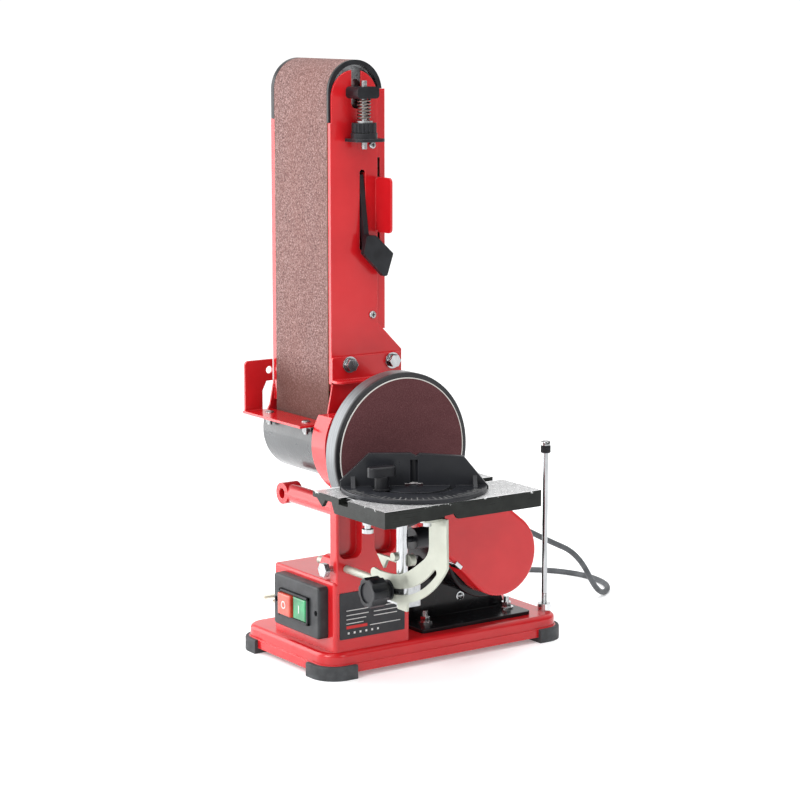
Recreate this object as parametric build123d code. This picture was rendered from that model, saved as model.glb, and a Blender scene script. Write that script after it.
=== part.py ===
from build123d import *
from math import cos, pi, radians, sin, tan
import os

# Belt and disc sander, millimetres, +Z up.
# The model is laid out in the drive line's own axes and moved to the bench frame when it is written:
# there X runs along the base to the right, Y points away from the operator, and the sanding disc's
# front face is at Y = 0 on the drive axis.

# ---- bench frame ---------------------------------------------------------------------------------
AXIS_HEIGHT = 246.0
BASE_CENTRE_X = 99.0
BASE_CENTRE_Y = 141.0
ORIGIN_X, ORIGIN_Y = -43.0, 68.0
FLOOR = -AXIS_HEIGHT

# ---- base ----------------------------------------------------------------------------------------
BASE_LENGTH = 308.0
BASE_WIDTH = 170.0
BASE_HEIGHT = 22.0
BASE_CORNER = 22.0
BASE_WALL = 2.5
FOOT_PAD = 6.0
FOOT_LIP = 4.0
FOOT_SPAN = 44.0
BASE_LEFT = BASE_CENTRE_X - BASE_LENGTH / 2
BASE_FRONT = BASE_CENTRE_Y - BASE_WIDTH / 2
BASE_BOTTOM = FLOOR + FOOT_PAD
BASE_TOP = BASE_BOTTOM + BASE_HEIGHT

# ---- body casting --------------------------------------------------------------------------------
BOX_LEFT, BOX_RIGHT = -43.0, 52.0
BOX_FRONT, BOX_BACK = 61.0, 179.5
BOX_TOP = -144.0
BOX_WALL = 4.0
COLUMN_LEFT, COLUMN_RIGHT = -40.0, 38.0
COLUMN_DEPTH = 14.0
POCKET_DEPTH = 11.0
RIB_LEFT, RIB_RIGHT = -9.0, 7.0
RING_FRONT, RING_BACK = 54.0, 79.0
RING_RADIUS = 58.5
RING_TOP = 31.0
BOSS_RADIUS = 22.0
BOSS_BACK = 87.0
HANDLE_X, HANDLE_Z, HANDLE_RADIUS = -28.0, -68.3, 9.8
HANDLE_END = 171.0

# ---- drive line ----------------------------------------------------------------------------------
SHAFT_RADIUS = 7.5
BEARING_RADIUS = 17.5
BEARING_WIDTH = 11.0
BEARING_STARTS = (57.0, 74.0)
DISC_RADIUS = 75.0
DISC_PLATE_RADIUS = 80.2
DISC_DEPTH = 19.4
PAPER = 0.8
DRUM_RADIUS = 31.2
BELT_GAP = 0.3
BELT_THICKNESS = 1.0
BELT_INNER = DRUM_RADIUS + BELT_GAP
BELT_OUTER = BELT_INNER + BELT_THICKNESS
BELT_WIDTH = 100.0
BELT_NEAR = 88.0
BELT_FAR = BELT_NEAR + BELT_WIDTH
CENTRE_DISTANCE = 356.8
MOTOR_X, MOTOR_Z = 147.5, -132.0
MOTOR_RADIUS = 50.0
MOTOR_FRONT, MOTOR_BACK = 53.0, 196.0
MOTOR_SHAFT_RADIUS = 6.0
DRIVE_PULLEY_RADIUS = 22.0
DRIVEN_PULLEY_RADIUS = 18.0
PULLEY_FRONT, PULLEY_BACK = 31.0, 45.0
COG_THICKNESS = 2.5
COVER_FRONT, COVER_BACK = 26.0, 50.0
COVER_WALL = 2.0
COVER_SMALL, COVER_BIG = 33.0, 44.8

# ---- belt arm ------------------------------------------------------------------------------------
SHEET = 2.0
PLATE_NEAR = 82.5
PLATE_FAR = 196.0
PLATE_LEFT, PLATE_RIGHT = -30.0, 25.6
ARCH_RADIUS = (PLATE_RIGHT - PLATE_LEFT) / 2
ARCH_X = (PLATE_RIGHT + PLATE_LEFT) / 2
ARCH_Z = 351.5
DRUM_COVER_RADIUS = 46.0
DRUM_COVER_SHEET = 1.5
SHELF_TOP = 20.0
SHELF_SHEET = 2.5
SHELF_BOTTOM = SHELF_TOP - SHELF_SHEET
SHELF_SCREW_X = -49.8
BRACKET_FRONT = 79.4
LUG_LOW, LUG_HIGH, LUG_FRONT = 214.0, 270.5, 55.0
LEVER_SLOT = (3.7, 10.7, 195.0, 278.5)
IDLER_SLOT_HALF = 6.0
MECHANISM_Y = 68.5
LEVER_PIVOT_Y, LEVER_PIVOT_Z = 90.0, 268.0
LEVER_NEAR_X, LEVER_FAR_X = 4.5, 9.9
LEVER_PIN_RADIUS = 3.0

# ---- table ---------------------------------------------------------------------------------------
TABLE_LEFT, TABLE_RIGHT = -109.3, 77.0
TABLE_FRONT, TABLE_BACK = -128.6, -2.5
TABLE_TOP = -26.8
TABLE_PLATE = 6.0
GROOVE_PITCH = 4.0
APRON_BOTTOM = -43.3
APRON = 4.0
SLOT_Y, SLOT_WIDTH, SLOT_DEPTH = -57.0, 16.0, 6.2
TILT_Y, TILT_Z = -28.0, -26.0
QUADRANT_X, QUADRANT_SHEET = -35.2, 2.4
QUADRANT_RADIUS = 118.0
QUADRANT_SLOT = 107.0
BAR_X, BAR_Z, BAR_RADIUS = -28.0, -130.3, 4.0
POST_X, POST_Y, POST_RADIUS = -25.6, -36.0, 5.8
POST_KNOB_Z = -82.0
KNOB_Y = -26.0
KNOB_Z = TILT_Z - QUADRANT_SLOT

# ---- mitre gauge ---------------------------------------------------------------------------------
MITRE_X = -26.0
MITRE_ANGLE = -32.0
MITRE_RADIUS = 72.0
MITRE_FLOOR = TABLE_TOP + 0.4
MITRE_KNOB_RADIUS = 38.6

# ---- stop rod ------------------------------------------------------------------------------------
ROD_X, ROD_Y, ROD_RADIUS = 245.5, 79.0, 3.0
ROD_TOP = -27.5

# ---- mains cord ----------------------------------------------------------------------------------
CORD_RADIUS = 3.25
CORD_FLOOR = FLOOR + CORD_RADIUS + 0.05
COIL_X, COIL_Y = 150.0, 361.0
COIL_MEAN = 36.0
COIL_TURNS_WIDE, COIL_TURNS_HIGH = 2, 3
COIL_FRONT = COIL_Y - COIL_MEAN - CORD_RADIUS
CORD_ROUTE = (
    (217.0, 140.0, MOTOR_Z),
    (249.0, 140.0, MOTOR_Z),
    (300.0, 143.0, -158.5),
    (352.0, 151.0, -182.5),
    (396.0, 166.0, CORD_FLOOR),
    (440.0, 196.0, CORD_FLOOR),
    (452.0, 256.0, CORD_FLOOR),
    (424.0, 312.0, CORD_FLOOR),
    (364.0, 344.0, CORD_FLOOR),
    (296.0, 349.0, CORD_FLOOR),
    (232.0, 328.0, CORD_FLOOR),
    (193.0, COIL_FRONT, CORD_FLOOR),
    (160.0, COIL_FRONT, CORD_FLOOR),
)


# ---- helpers -------------------------------------------------------------------------------------
def block(x0, x1, y0, y1, z0, z1):
    """Box between two corners."""
    centre = Pos((x0 + x1) / 2, (y0 + y1) / 2, (z0 + z1) / 2)
    return centre * Box(abs(x1 - x0), abs(y1 - y0), abs(z1 - z0))


def rod_x(y, z, x0, x1, radius):
    return Pos((x0 + x1) / 2, y, z) * Rot(0, 90, 0) * Cylinder(radius, abs(x1 - x0))


def rod_y(x, z, y0, y1, radius):
    return Pos(x, (y0 + y1) / 2, z) * Rot(90, 0, 0) * Cylinder(radius, abs(y1 - y0))


def rod_z(x, y, z0, z1, radius):
    return Pos(x, y, (z0 + z1) / 2) * Cylinder(radius, abs(z1 - z0))


def facing_y(y):
    """Plane whose axes are X and Z, at the given Y, pointing at the operator."""
    return Plane(origin=(0, y, 0), x_dir=(1, 0, 0), z_dir=(0, -1, 0))


def facing_x(x):
    """Plane whose axes are Y and Z, at the given X, pointing right."""
    return Plane(origin=(x, 0, 0), x_dir=(0, 1, 0), z_dir=(1, 0, 0))


def slab_y(sketch, y0, y1):
    """Outline drawn in X and Z, thick from y0 to y1."""
    return extrude(facing_y(y1) * sketch, y1 - y0)


def slab_x(sketch, x0, x1):
    """Outline drawn in Y and Z, thick from x0 to x1."""
    return extrude(facing_x(x0) * sketch, x1 - x0)


def outline(points):
    return make_face(Polyline(*points, close=True))


def slot_shape(x0, x1, z0, z1):
    """Upright slot with round ends."""
    width = x1 - x0
    return Pos((x0 + x1) / 2, (z0 + z1) / 2) * Rot(0, 0, 90) * SlotOverall(z1 - z0, width)


def hexagon_rod(along, centre, start, end, across_flats):
    """Hexagonal prism along one axis; centre holds the two other coordinates."""
    sketch = RegularPolygon(across_flats / 2, 6, major_radius=False)
    if along == "x":
        return slab_x(Pos(*centre) * sketch, start, end)
    if along == "y":
        return slab_y(Pos(*centre) * sketch, start, end)
    return extrude(Pos(centre[0], centre[1], start) * sketch, end - start)


def loop_outline(first, first_radius, second, second_radius):
    """Outline of a belt lying on two rounds, crossing nothing."""
    return make_hull(
        (Pos(*first) * Circle(first_radius)).edges() + (Pos(*second) * Circle(second_radius)).edges()
    )


def joined(*solids):
    result = solids[0]
    for solid in solids[1:]:
        result += solid
    return result


def group(*solids):
    """Separate solids kept in one node."""
    return Compound(children=list(solids))


# ---- base ----------------------------------------------------------------------------------------
def base_outline(grow=0.0):
    return RectangleRounded(BASE_LENGTH + 2 * grow, BASE_WIDTH + 2 * grow, BASE_CORNER + grow)


def base_tray():
    centre = Pos(BASE_CENTRE_X, BASE_CENTRE_Y, BASE_BOTTOM)
    outer = centre * extrude(base_outline(), BASE_HEIGHT)
    outer = fillet(outer.faces().sort_by(Axis.Z)[-1].edges(), 5.0)
    band = centre * extrude(base_outline(1.5), 9.0)
    inner = centre * extrude(base_outline(-BASE_WALL), BASE_HEIGHT - BASE_WALL)
    rod_hole = rod_z(ROD_X, ROD_Y, BASE_TOP - BASE_WALL - 1, BASE_TOP + 1, ROD_RADIUS)
    return outer + band - inner - rod_hole


def corner_feet():
    centre = Pos(BASE_CENTRE_X, BASE_CENTRE_Y, FLOOR)
    height = FOOT_PAD + 9.0
    shoe = centre * extrude(base_outline(FOOT_LIP + 1.5), height)
    shoe = fillet(shoe.faces().sort_by(Axis.Z)[-1].edges(), 2.0)
    seat = Pos(0, 0, FOOT_PAD) * centre * extrude(base_outline(1.5), height)
    shoe -= seat
    shoe -= centre * extrude(base_outline(-16.0), height)
    feet = []
    for x_side in (-1, 1):
        for y_side in (-1, 1):
            x_edge = BASE_CENTRE_X + x_side * (BASE_LENGTH / 2 + 10)
            y_edge = BASE_CENTRE_Y + y_side * (BASE_WIDTH / 2 + 10)
            corner = block(
                x_edge, x_edge - x_side * FOOT_SPAN, y_edge, y_edge - y_side * FOOT_SPAN, FLOOR - 1, BASE_TOP
            )
            feet.append((shoe & corner).solids()[0])
    return group(*feet)


# ---- body casting --------------------------------------------------------------------------------
def switch_box():
    box = block(BOX_LEFT, BOX_RIGHT, BOX_FRONT, BOX_BACK, BASE_TOP, BOX_TOP)
    box = fillet(box.edges().filter_by(Axis.Z), 4.0)
    box = fillet(box.faces().sort_by(Axis.Z)[-1].edges(), 3.0)
    hollow = block(
        BOX_LEFT + BOX_WALL, BOX_RIGHT - BOX_WALL,
        BOX_FRONT + BOX_WALL, BOX_BACK - BOX_WALL,
        BASE_TOP, BOX_TOP - BOX_WALL,
    )
    switch_hole = block(BOX_LEFT - 1, BOX_LEFT + BOX_WALL + 1, 84.0, 152.0, -199.0, -158.0)
    return box - hollow - switch_hole


def column():
    wall = block(COLUMN_LEFT, COLUMN_RIGHT, BOX_FRONT, BOX_FRONT + COLUMN_DEPTH, BOX_TOP - 3, -57.0)
    neck = block(COLUMN_LEFT, COLUMN_RIGHT, BOX_FRONT, BOX_FRONT + COLUMN_DEPTH, -58.0, -40.0)
    wall = joined(wall, neck)
    wall = fillet(wall.edges().filter_by(Axis.Z), 2.0)
    pockets = []
    for left, right in ((COLUMN_LEFT + 3, RIB_LEFT), (RIB_RIGHT, COLUMN_RIGHT - 4)):
        pocket = outline(((left, -60.0), (right, -60.0), (right, -120.0), (left, -120.0)))
        pocket = fillet(pocket.vertices().sort_by(Axis.Y)[:2], 9.0)
        pockets.append(slab_y(pocket, BOX_FRONT - 1, BOX_FRONT + POCKET_DEPTH))
    return wall - pockets


def bearing_ring():
    ring = rod_y(0, 0, RING_FRONT, RING_BACK, RING_RADIUS)
    ring -= rod_y(0, 0, RING_FRONT - 1, RING_FRONT + 12, RING_RADIUS - 6)
    ring += rod_y(0, 0, RING_FRONT, RING_BACK, 26.0)
    ring -= block(-80, 80, RING_FRONT - 2, RING_BACK + 1, RING_TOP, 80)
    return ring + rod_y(0, 0, RING_BACK, BOSS_BACK, BOSS_RADIUS)


def carrying_bar():
    """Round bar cast on the column's back, with a cross hole near its far end."""
    back = BOX_FRONT + COLUMN_DEPTH
    bar = rod_y(HANDLE_X, HANDLE_Z, back - 2, HANDLE_END, HANDLE_RADIUS)
    bar += rod_x(HANDLE_END, HANDLE_Z, HANDLE_X - 9.6, HANDLE_X + 9.6, 11.5)
    web = outline(((back - 1, -76.0), (back + 14, -76.0), (back + 4, -84.0), (back - 1, -97.0)))
    bar += slab_x(web, HANDLE_X - 3, HANDLE_X + 3)
    return bar - rod_x(HANDLE_END, HANDLE_Z, HANDLE_X - 20, HANDLE_X + 20, 5.5)


def body_casting():
    body = joined(switch_box(), column(), bearing_ring(), carrying_bar())
    body += rod_y(BAR_X, BAR_Z, BOX_FRONT + 2, 96.0, 10.0)
    for start in BEARING_STARTS:
        body -= rod_y(0, 0, start, start + BEARING_WIDTH, BEARING_RADIUS)
    body -= rod_y(0, 0, RING_FRONT - 1, BOSS_BACK + 1, SHAFT_RADIUS + 2)
    body -= rod_y(BAR_X, BAR_Z, BOX_FRONT - 1, 97.0, BAR_RADIUS + 0.05)
    body -= rod_x(BOX_FRONT + 10, BAR_Z, COLUMN_LEFT - 1, BAR_X, 3.0)
    return body


def shaft_bearings():
    rings = []
    for start in BEARING_STARTS:
        ring = rod_y(0, 0, start, start + BEARING_WIDTH, BEARING_RADIUS)
        rings.append(ring - rod_y(0, 0, start - 1, start + BEARING_WIDTH + 1, SHAFT_RADIUS + 0.04))
    return group(*rings)


# ---- switch --------------------------------------------------------------------------------------
BEZEL_LEFT = -55.0
BUTTON_LOW, BUTTON_HIGH = -190.0, -167.0
STOP_SPAN = (119.5, 143.5)
START_SPAN = (94.0, 118.0)


def switch_bezel():
    bezel = block(BEZEL_LEFT, BOX_LEFT, 73.0, 161.0, -205.0, -149.5)
    bezel = fillet(bezel.edges().filter_by(Axis.X), 4.0)
    bezel = fillet(bezel.faces().sort_by(Axis.X)[0].edges(), 2.5)
    bezel -= block(BEZEL_LEFT - 1, BEZEL_LEFT + 2, 90.5, 147.0, -193.5, -163.5)
    for low, high in (STOP_SPAN, START_SPAN):
        bezel -= block(
            BEZEL_LEFT - 1, BOX_LEFT + 1, low - 0.4, high + 0.4, BUTTON_LOW - 0.4, BUTTON_HIGH + 0.4
        )
    for y in (78.5, 155.5):
        bezel -= rod_x(y, -177.5, BEZEL_LEFT - 1, BEZEL_LEFT + 6, 3.0)
    return bezel


def button(span, front):
    cap = block(front, -45.0, span[0], span[1], BUTTON_LOW, BUTTON_HIGH)
    return fillet(cap.faces().sort_by(Axis.X)[0].edges(), 1.5)


def switch_block():
    case = block(-41.0, -14.0, 86.0, 150.0, -197.0, -160.0)
    return fillet(case.edges().filter_by(Axis.X), 2.0)


def rating_plate():
    plate = block(-37.0, 44.5, BOX_FRONT - 0.6, BOX_FRONT, -205.0, -155.5)
    return fillet(plate.edges().filter_by(Axis.Y), 1.0)


# ---- drive line ----------------------------------------------------------------------------------
def drive_shaft():
    return rod_y(0, 0, 6.0, 203.0, SHAFT_RADIUS)


def disc_plate():
    plate = rod_y(0, 0, PAPER, DISC_DEPTH, DISC_PLATE_RADIUS)
    plate = fillet(plate.edges().filter_by(GeomType.CIRCLE), 1.2)
    plate -= rod_y(0, 0, 8.0, DISC_DEPTH + 1, DISC_PLATE_RADIUS - 7)
    plate += rod_y(0, 0, 8.0, DISC_DEPTH + 5, 16.0)
    ribs = [
        Rot(0, angle, 0) * block(12, DISC_PLATE_RADIUS - 4, 7.0, 15.0, -2, 2)
        for angle in range(0, 360, 60)
    ]
    plate = plate + ribs
    return plate - rod_y(0, 0, 6.0, 30.0, SHAFT_RADIUS)


def sanding_disc():
    return rod_y(0, 0, 0, PAPER, DISC_RADIUS)


def cog_pulley(x, z, radius, bore):
    """Toothed pulley with two flanges."""
    body = rod_y(x, z, PULLEY_FRONT, PULLEY_BACK, radius)
    teeth = round(2 * pi * radius / 5.0)
    grooves = [
        Pos(x, 0, z) * Rot(0, 360 * n / teeth, 0)
        * block(radius - 1.6, radius + 1, PULLEY_FRONT - 1, PULLEY_BACK + 1, -1.0, 1.0)
        for n in range(teeth)
    ]
    body -= grooves
    for start in (PULLEY_FRONT - 1.5, PULLEY_BACK):
        body += rod_y(x, z, start, start + 1.5, radius + 1.5)
    return body - rod_y(x, z, PULLEY_FRONT - 3, PULLEY_BACK + 3, bore)


def cog_belt():
    inner = loop_outline((0, 0), DRIVEN_PULLEY_RADIUS + 0.35, (MOTOR_X, MOTOR_Z), DRIVE_PULLEY_RADIUS + 0.35)
    outer = loop_outline(
        (0, 0), DRIVEN_PULLEY_RADIUS + 0.35 + COG_THICKNESS,
        (MOTOR_X, MOTOR_Z), DRIVE_PULLEY_RADIUS + 0.35 + COG_THICKNESS,
    )
    return slab_y(outer - inner, PULLEY_FRONT + 1, PULLEY_BACK - 1)


def drive_drum():
    drum = rod_y(0, 0, 91.0, 186.0, DRUM_RADIUS)
    drum = chamfer(drum.edges().filter_by(GeomType.CIRCLE), 1.0)
    drum -= rod_y(0, 0, 90.0, 106.0, DRUM_RADIUS - 5)
    drum -= rod_y(0, 0, 171.0, 187.0, DRUM_RADIUS - 5)
    drum += rod_y(0, 0, 92.0, 185.0, 12.0)
    return drum - rod_y(0, 0, 80.0, 200.0, SHAFT_RADIUS)


# ---- motor ---------------------------------------------------------------------------------------
def motor_housing():
    body = rod_y(MOTOR_X, MOTOR_Z, 66.0, MOTOR_BACK, MOTOR_RADIUS)
    body = fillet(body.edges().filter_by(GeomType.CIRCLE).sort_by(Axis.Y)[-1], 6.0)
    body -= rod_y(MOTOR_X, MOTOR_Z, 65.0, MOTOR_BACK - 4, MOTOR_RADIUS - 4)
    vents = [
        Pos(MOTOR_X, 0, MOTOR_Z) * Rot(0, angle, 0) * block(16, 38, MOTOR_BACK - 6, MOTOR_BACK + 1, -2.5, 2.5)
        for angle in range(0, 360, 30)
    ]
    return body - vents


def motor_front_bell():
    bell = rod_y(MOTOR_X, MOTOR_Z, MOTOR_FRONT, 66.0, MOTOR_RADIUS + 1.5)
    bell = fillet(bell.edges().filter_by(GeomType.CIRCLE).sort_by(Axis.Y)[0], 3.0)
    bell -= rod_y(MOTOR_X, MOTOR_Z, 58.0, 67.0, MOTOR_RADIUS - 4)
    return bell - rod_y(MOTOR_X, MOTOR_Z, MOTOR_FRONT - 1, 67.0, MOTOR_SHAFT_RADIUS + 0.05)


def motor_rotor():
    shaft = rod_y(MOTOR_X, MOTOR_Z, PULLEY_FRONT - 2, 186.0, MOTOR_SHAFT_RADIUS)
    return shaft + rod_y(MOTOR_X, MOTOR_Z, 84.0, 160.0, 26.0)


BRACKET_LEFT, BRACKET_RIGHT = 76.0, 222.0
BRACKET_NEAR, BRACKET_REAR = 72.0, 190.0
CHEEK_NEAR, CHEEK_REAR = 112.0, 160.0
STUD_PLACES = ((98.0, 99.0), (208.0, 99.0), (98.0, 176.0), (208.0, 176.0))


def motor_bracket():
    """Cast foot: a flange on the base and two cheeks that cradle the motor."""
    flange = block(BRACKET_LEFT, BRACKET_RIGHT, BRACKET_NEAR, BRACKET_REAR, BASE_TOP, BASE_TOP + 4)
    flange = fillet(flange.edges().filter_by(Axis.Z), 5.0)
    cheek = outline(
        (
            (BRACKET_LEFT + 4, BASE_TOP + 3), (BRACKET_RIGHT - 6, BASE_TOP + 3),
            (MOTOR_X + 46, MOTOR_Z - 30), (MOTOR_X + 46, MOTOR_Z - 12),
            (MOTOR_X - 50, MOTOR_Z - 12), (MOTOR_X - 54, MOTOR_Z - 30),
        )
    )
    foot = flange
    for start in (CHEEK_NEAR, CHEEK_REAR):
        foot += slab_y(cheek, start, start + 5)
    foot += block(MOTOR_X - 30, MOTOR_X + 30, CHEEK_NEAR + 4, CHEEK_REAR + 3, BASE_TOP + 3, MOTOR_Z - 40)
    foot -= rod_y(MOTOR_X, MOTOR_Z, BRACKET_NEAR - 1, BRACKET_REAR + 1, MOTOR_RADIUS)
    for x, y in STUD_PLACES:
        foot -= rod_z(x, y, BASE_TOP - 1, BASE_TOP + 5, 3.1)
    return foot


def base_nuts():
    """Four stud ends with washers and nuts on the motor foot, and the stop rod's nut."""
    studs = [rod_nut()]
    top = BASE_TOP + 4
    for x, y in STUD_PLACES:
        stud = rod_z(x, y, BASE_TOP, top + 13, 3.0)
        stud += rod_z(x, y, top, top + 1.6, 8.0)
        stud += hexagon_rod("z", (x, y), top + 1.6, top + 7.0, 10.0)
        studs.append(stud)
    return group(*studs)


# ---- drive cover ---------------------------------------------------------------------------------
def drive_cover():
    motor = (MOTOR_X, MOTOR_Z)
    outer = slab_y(loop_outline((0, 0), COVER_SMALL, motor, COVER_BIG), COVER_FRONT, COVER_BACK)
    outer = fillet(outer.faces().sort_by(Axis.Y)[0].edges(), 4.0)
    inside = loop_outline((0, 0), COVER_SMALL - COVER_WALL, motor, COVER_BIG - COVER_WALL)
    shell = outer - slab_y(inside, COVER_FRONT + COVER_WALL, COVER_BACK + 1)
    return shell - rod_y(0, 0, COVER_FRONT - 1, COVER_BACK, 17.0)


# ---- stop rod ------------------------------------------------------------------------------------
def stop_rod():
    return rod_z(ROD_X, ROD_Y, BASE_TOP - BASE_WALL, ROD_TOP - 1.5, ROD_RADIUS)


def rod_nut():
    nut = hexagon_rod("z", (ROD_X, ROD_Y), BASE_TOP, BASE_TOP + 8.0, 14.0)
    return nut - rod_z(ROD_X, ROD_Y, BASE_TOP - 1, BASE_TOP + 9, ROD_RADIUS)


def rod_cap():
    cap = rod_z(ROD_X, ROD_Y, ROD_TOP - 13.0, ROD_TOP, 5.0)
    cap = fillet(cap.faces().sort_by(Axis.Z)[-1].edges(), 1.0)
    return cap - rod_z(ROD_X, ROD_Y, ROD_TOP - 14, ROD_TOP - 1.5, ROD_RADIUS)


# ---- belt arm ------------------------------------------------------------------------------------
def near_plate_outline():
    arch = Pos(ARCH_X, ARCH_Z) * Circle(ARCH_RADIUS)
    straight = outline(
        (
            (PLATE_LEFT, ARCH_Z), (PLATE_RIGHT, ARCH_Z), (PLATE_RIGHT, 120.0), (55.5, 90.0),
            (55.5, 60.0), (40.0, 20.0), (-38.0, 20.0), (PLATE_LEFT, 60.0),
        )
    )
    return arch + straight + Circle(DRUM_COVER_RADIUS - 1.5)


def arm_frame():
    """Bent channel: two side plates joined by the web behind the platen, with front lips."""
    near = slab_y(near_plate_outline(), PLATE_NEAR, PLATE_NEAR + SHEET)
    far_sketch = Pos(ARCH_X, ARCH_Z) * Circle(ARCH_RADIUS)
    far_sketch += outline(
        (
            (PLATE_LEFT, ARCH_Z), (PLATE_RIGHT, ARCH_Z), (PLATE_RIGHT, 60.0), (40.0, 20.0),
            (-38.0, 20.0), (PLATE_LEFT, 60.0),
        )
    )
    far_sketch += Circle(DRUM_COVER_RADIUS - 1.5)
    far = slab_y(far_sketch, PLATE_FAR - SHEET, PLATE_FAR)
    web = block(-28.6, -26.6, PLATE_NEAR + SHEET, PLATE_FAR - SHEET, 52.0, 315.0)
    near_lip = block(PLATE_LEFT - 1.6, PLATE_LEFT + 0.4, PLATE_NEAR, BELT_NEAR - 0.6, 60.0, 326.5)
    far_lip = block(PLATE_LEFT - 1.6, PLATE_LEFT + 0.4, BELT_FAR + 0.6, PLATE_FAR, 30.0, 326.5)
    frame = joined(near, far, web, near_lip, far_lip)
    for y in (PLATE_NEAR - 1, PLATE_FAR - SHEET - 1):
        frame -= slab_y(slot_shape(-IDLER_SLOT_HALF, IDLER_SLOT_HALF, 340.0, 400.0), y, y + SHEET + 2)
    left, right, low, high = LEVER_SLOT
    frame -= slab_y(slot_shape(left, right, low, high), PLATE_NEAR - 1, PLATE_NEAR + SHEET + 1)
    frame -= rod_y(0, 0, PLATE_NEAR - 1, PLATE_NEAR + SHEET + 1, BOSS_RADIUS + 0.06)
    frame -= rod_y(0, 0, PLATE_FAR - SHEET - 1, PLATE_FAR + 1, 10.0)
    for near_x, far_x in ((0.4, 3.8), (10.6, 13.0)):
        ear = block(
            near_x, far_x,
            PLATE_NEAR + SHEET, LEVER_PIVOT_Y + 6,
            LEVER_PIVOT_Z - 7, LEVER_PIVOT_Z + 7,
        )
        frame += ear - rod_x(LEVER_PIVOT_Y, LEVER_PIVOT_Z, near_x - 1, far_x + 1, LEVER_PIN_RADIUS + 0.05)
    return frame + stop_lug()


def stop_lug():
    """Lug folded out of the side plate; it rests on the stop rod when the arm lies down."""
    lug = outline(
        ((PLATE_NEAR + 1, LUG_LOW), (LUG_FRONT, LUG_LOW), (LUG_FRONT, LUG_HIGH), (PLATE_NEAR + 1, LUG_HIGH))
    )
    lug = fillet(lug.vertices().sort_by(Axis.X)[:2], 5.0)
    lug = slab_x(lug, PLATE_RIGHT - SHEET, PLATE_RIGHT)
    for z in (LUG_LOW, LUG_HIGH):
        lug -= block(PLATE_RIGHT - 3, PLATE_RIGHT + 1, PLATE_NEAR - 3, PLATE_NEAR, z - 1.5, z + 1.5)
    return lug


def platen():
    return block(-31.2, -28.6, 90.0, 186.0, 52.0, 315.0)


def sanding_belt():
    ends = ((0, 0), (0, CENTRE_DISTANCE))
    outer = loop_outline(ends[0], BELT_OUTER, ends[1], BELT_OUTER)
    inner = loop_outline(ends[0], BELT_INNER, ends[1], BELT_INNER)
    return slab_y(outer - inner, BELT_NEAR, BELT_FAR)


def rear_cover():
    """Shallow channel over the belt's return run."""
    inner_near, inner_far = PLATE_NEAR + SHEET, PLATE_FAR - SHEET
    cover = block(13.0, 36.0, inner_near, inner_far, 113.0, 359.6)
    cover -= block(12.0, 34.2, inner_near + 1.5, inner_far - 1.5, 112.0, 361.0)
    return cover - block(12.0, 30.0, inner_near - 1, inner_near + 2, 186.0, 290.0)


def frame_screws():
    screws = []
    for z in (303.0, 128.5):
        head = rod_y(19.0, z, PLATE_NEAR - 2.4, PLATE_NEAR, 4.0)
        screws.append(fillet(head.edges().filter_by(GeomType.CIRCLE).sort_by(Axis.Y)[0], 1.5))
        far = rod_y(19.0, z, PLATE_FAR, PLATE_FAR + 2.4, 4.0)
        screws.append(fillet(far.edges().filter_by(GeomType.CIRCLE).sort_by(Axis.Y)[-1], 1.5))
    return screws


def pivot_bracket():
    """Flat plate across the arm's foot with a folded lower flange."""
    plate = outline(((-32.5, 62.0), (52.0, 62.0), (52.0, 88.0), (-32.5, 88.0)))
    plate = fillet(plate.vertices().sort_by(Axis.Y)[-2:], 3.0)
    bracket = slab_y(plate, BRACKET_FRONT, PLATE_NEAR)
    flange = block(-32.5, 30.0, 66.0, BRACKET_FRONT + 1, 62.0, 64.6)
    flange = fillet(flange.edges().filter_by(Axis.Z).sort_by(Axis.Y)[:2], 6.0)
    flange -= block(-18.0, 10.0, 75.5, 77.5, 60.0, 66.0)
    return bracket + flange


BRACKET_BOLTS = (-11.5, 41.5)


def bracket_bolts():
    bolts = []
    for x in BRACKET_BOLTS:
        bolt = rod_y(x, 79.5, BRACKET_FRONT - 1.6, BRACKET_FRONT, 8.5)
        bolt += hexagon_rod("y", (x, 79.5), BRACKET_FRONT - 7.0, BRACKET_FRONT - 1.6, 12.0)
        bolts.append(bolt)
    return group(*bolts)


def drum_cover():
    """Curved sheet under the drive drum, with a front lip that carries the work stop."""
    inner_near, inner_far = PLATE_NEAR + SHEET, PLATE_FAR - SHEET
    shell = rod_y(0, 0, inner_near, inner_far, DRUM_COVER_RADIUS)
    shell -= rod_y(0, 0, inner_near - 1, inner_far + 1, DRUM_COVER_RADIUS - DRUM_COVER_SHEET)
    shell -= block(-60, 60, 80, 200, SHELF_BOTTOM, 80)
    lip = block(-56.0, -42.6, inner_near, inner_far, SHELF_BOTTOM - DRUM_COVER_SHEET, SHELF_BOTTOM)
    lip -= rod_y(0, 0, inner_near - 1, inner_far + 1, DRUM_COVER_RADIUS - DRUM_COVER_SHEET)
    return shell + lip




def work_stop():
    """Right-angled rest across the front of the belt, with a hooked end plate."""
    left, right, end = -69.0, -35.0, 197.0
    shelf = block(left, right, PLATE_NEAR + SHEET, end, SHELF_BOTTOM, SHELF_TOP)
    shelf -= block(-46.0, right + 1, PLATE_FAR - SHEET - 0.5, end + 1, SHELF_BOTTOM - 1, SHELF_TOP + 1)
    tab = outline(
        (
            (left + 1.5, SHELF_BOTTOM), (-46.0, SHELF_BOTTOM), (-46.0, 40.0), (-41.0, 50.0),
            (-33.2, 50.0), (-33.2, 73.0), (left + 1.5, 73.0),
        )
    )
    corner = tab.vertices().sort_by_distance((left + 1.5, 73.0, 0))[0]
    tab = slab_y(fillet([corner], 5.0), end - SHELF_SHEET, end)
    return shelf + tab - rod_y(-37.5, 61.5, end - 4, end + 1, 4.0)


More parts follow.
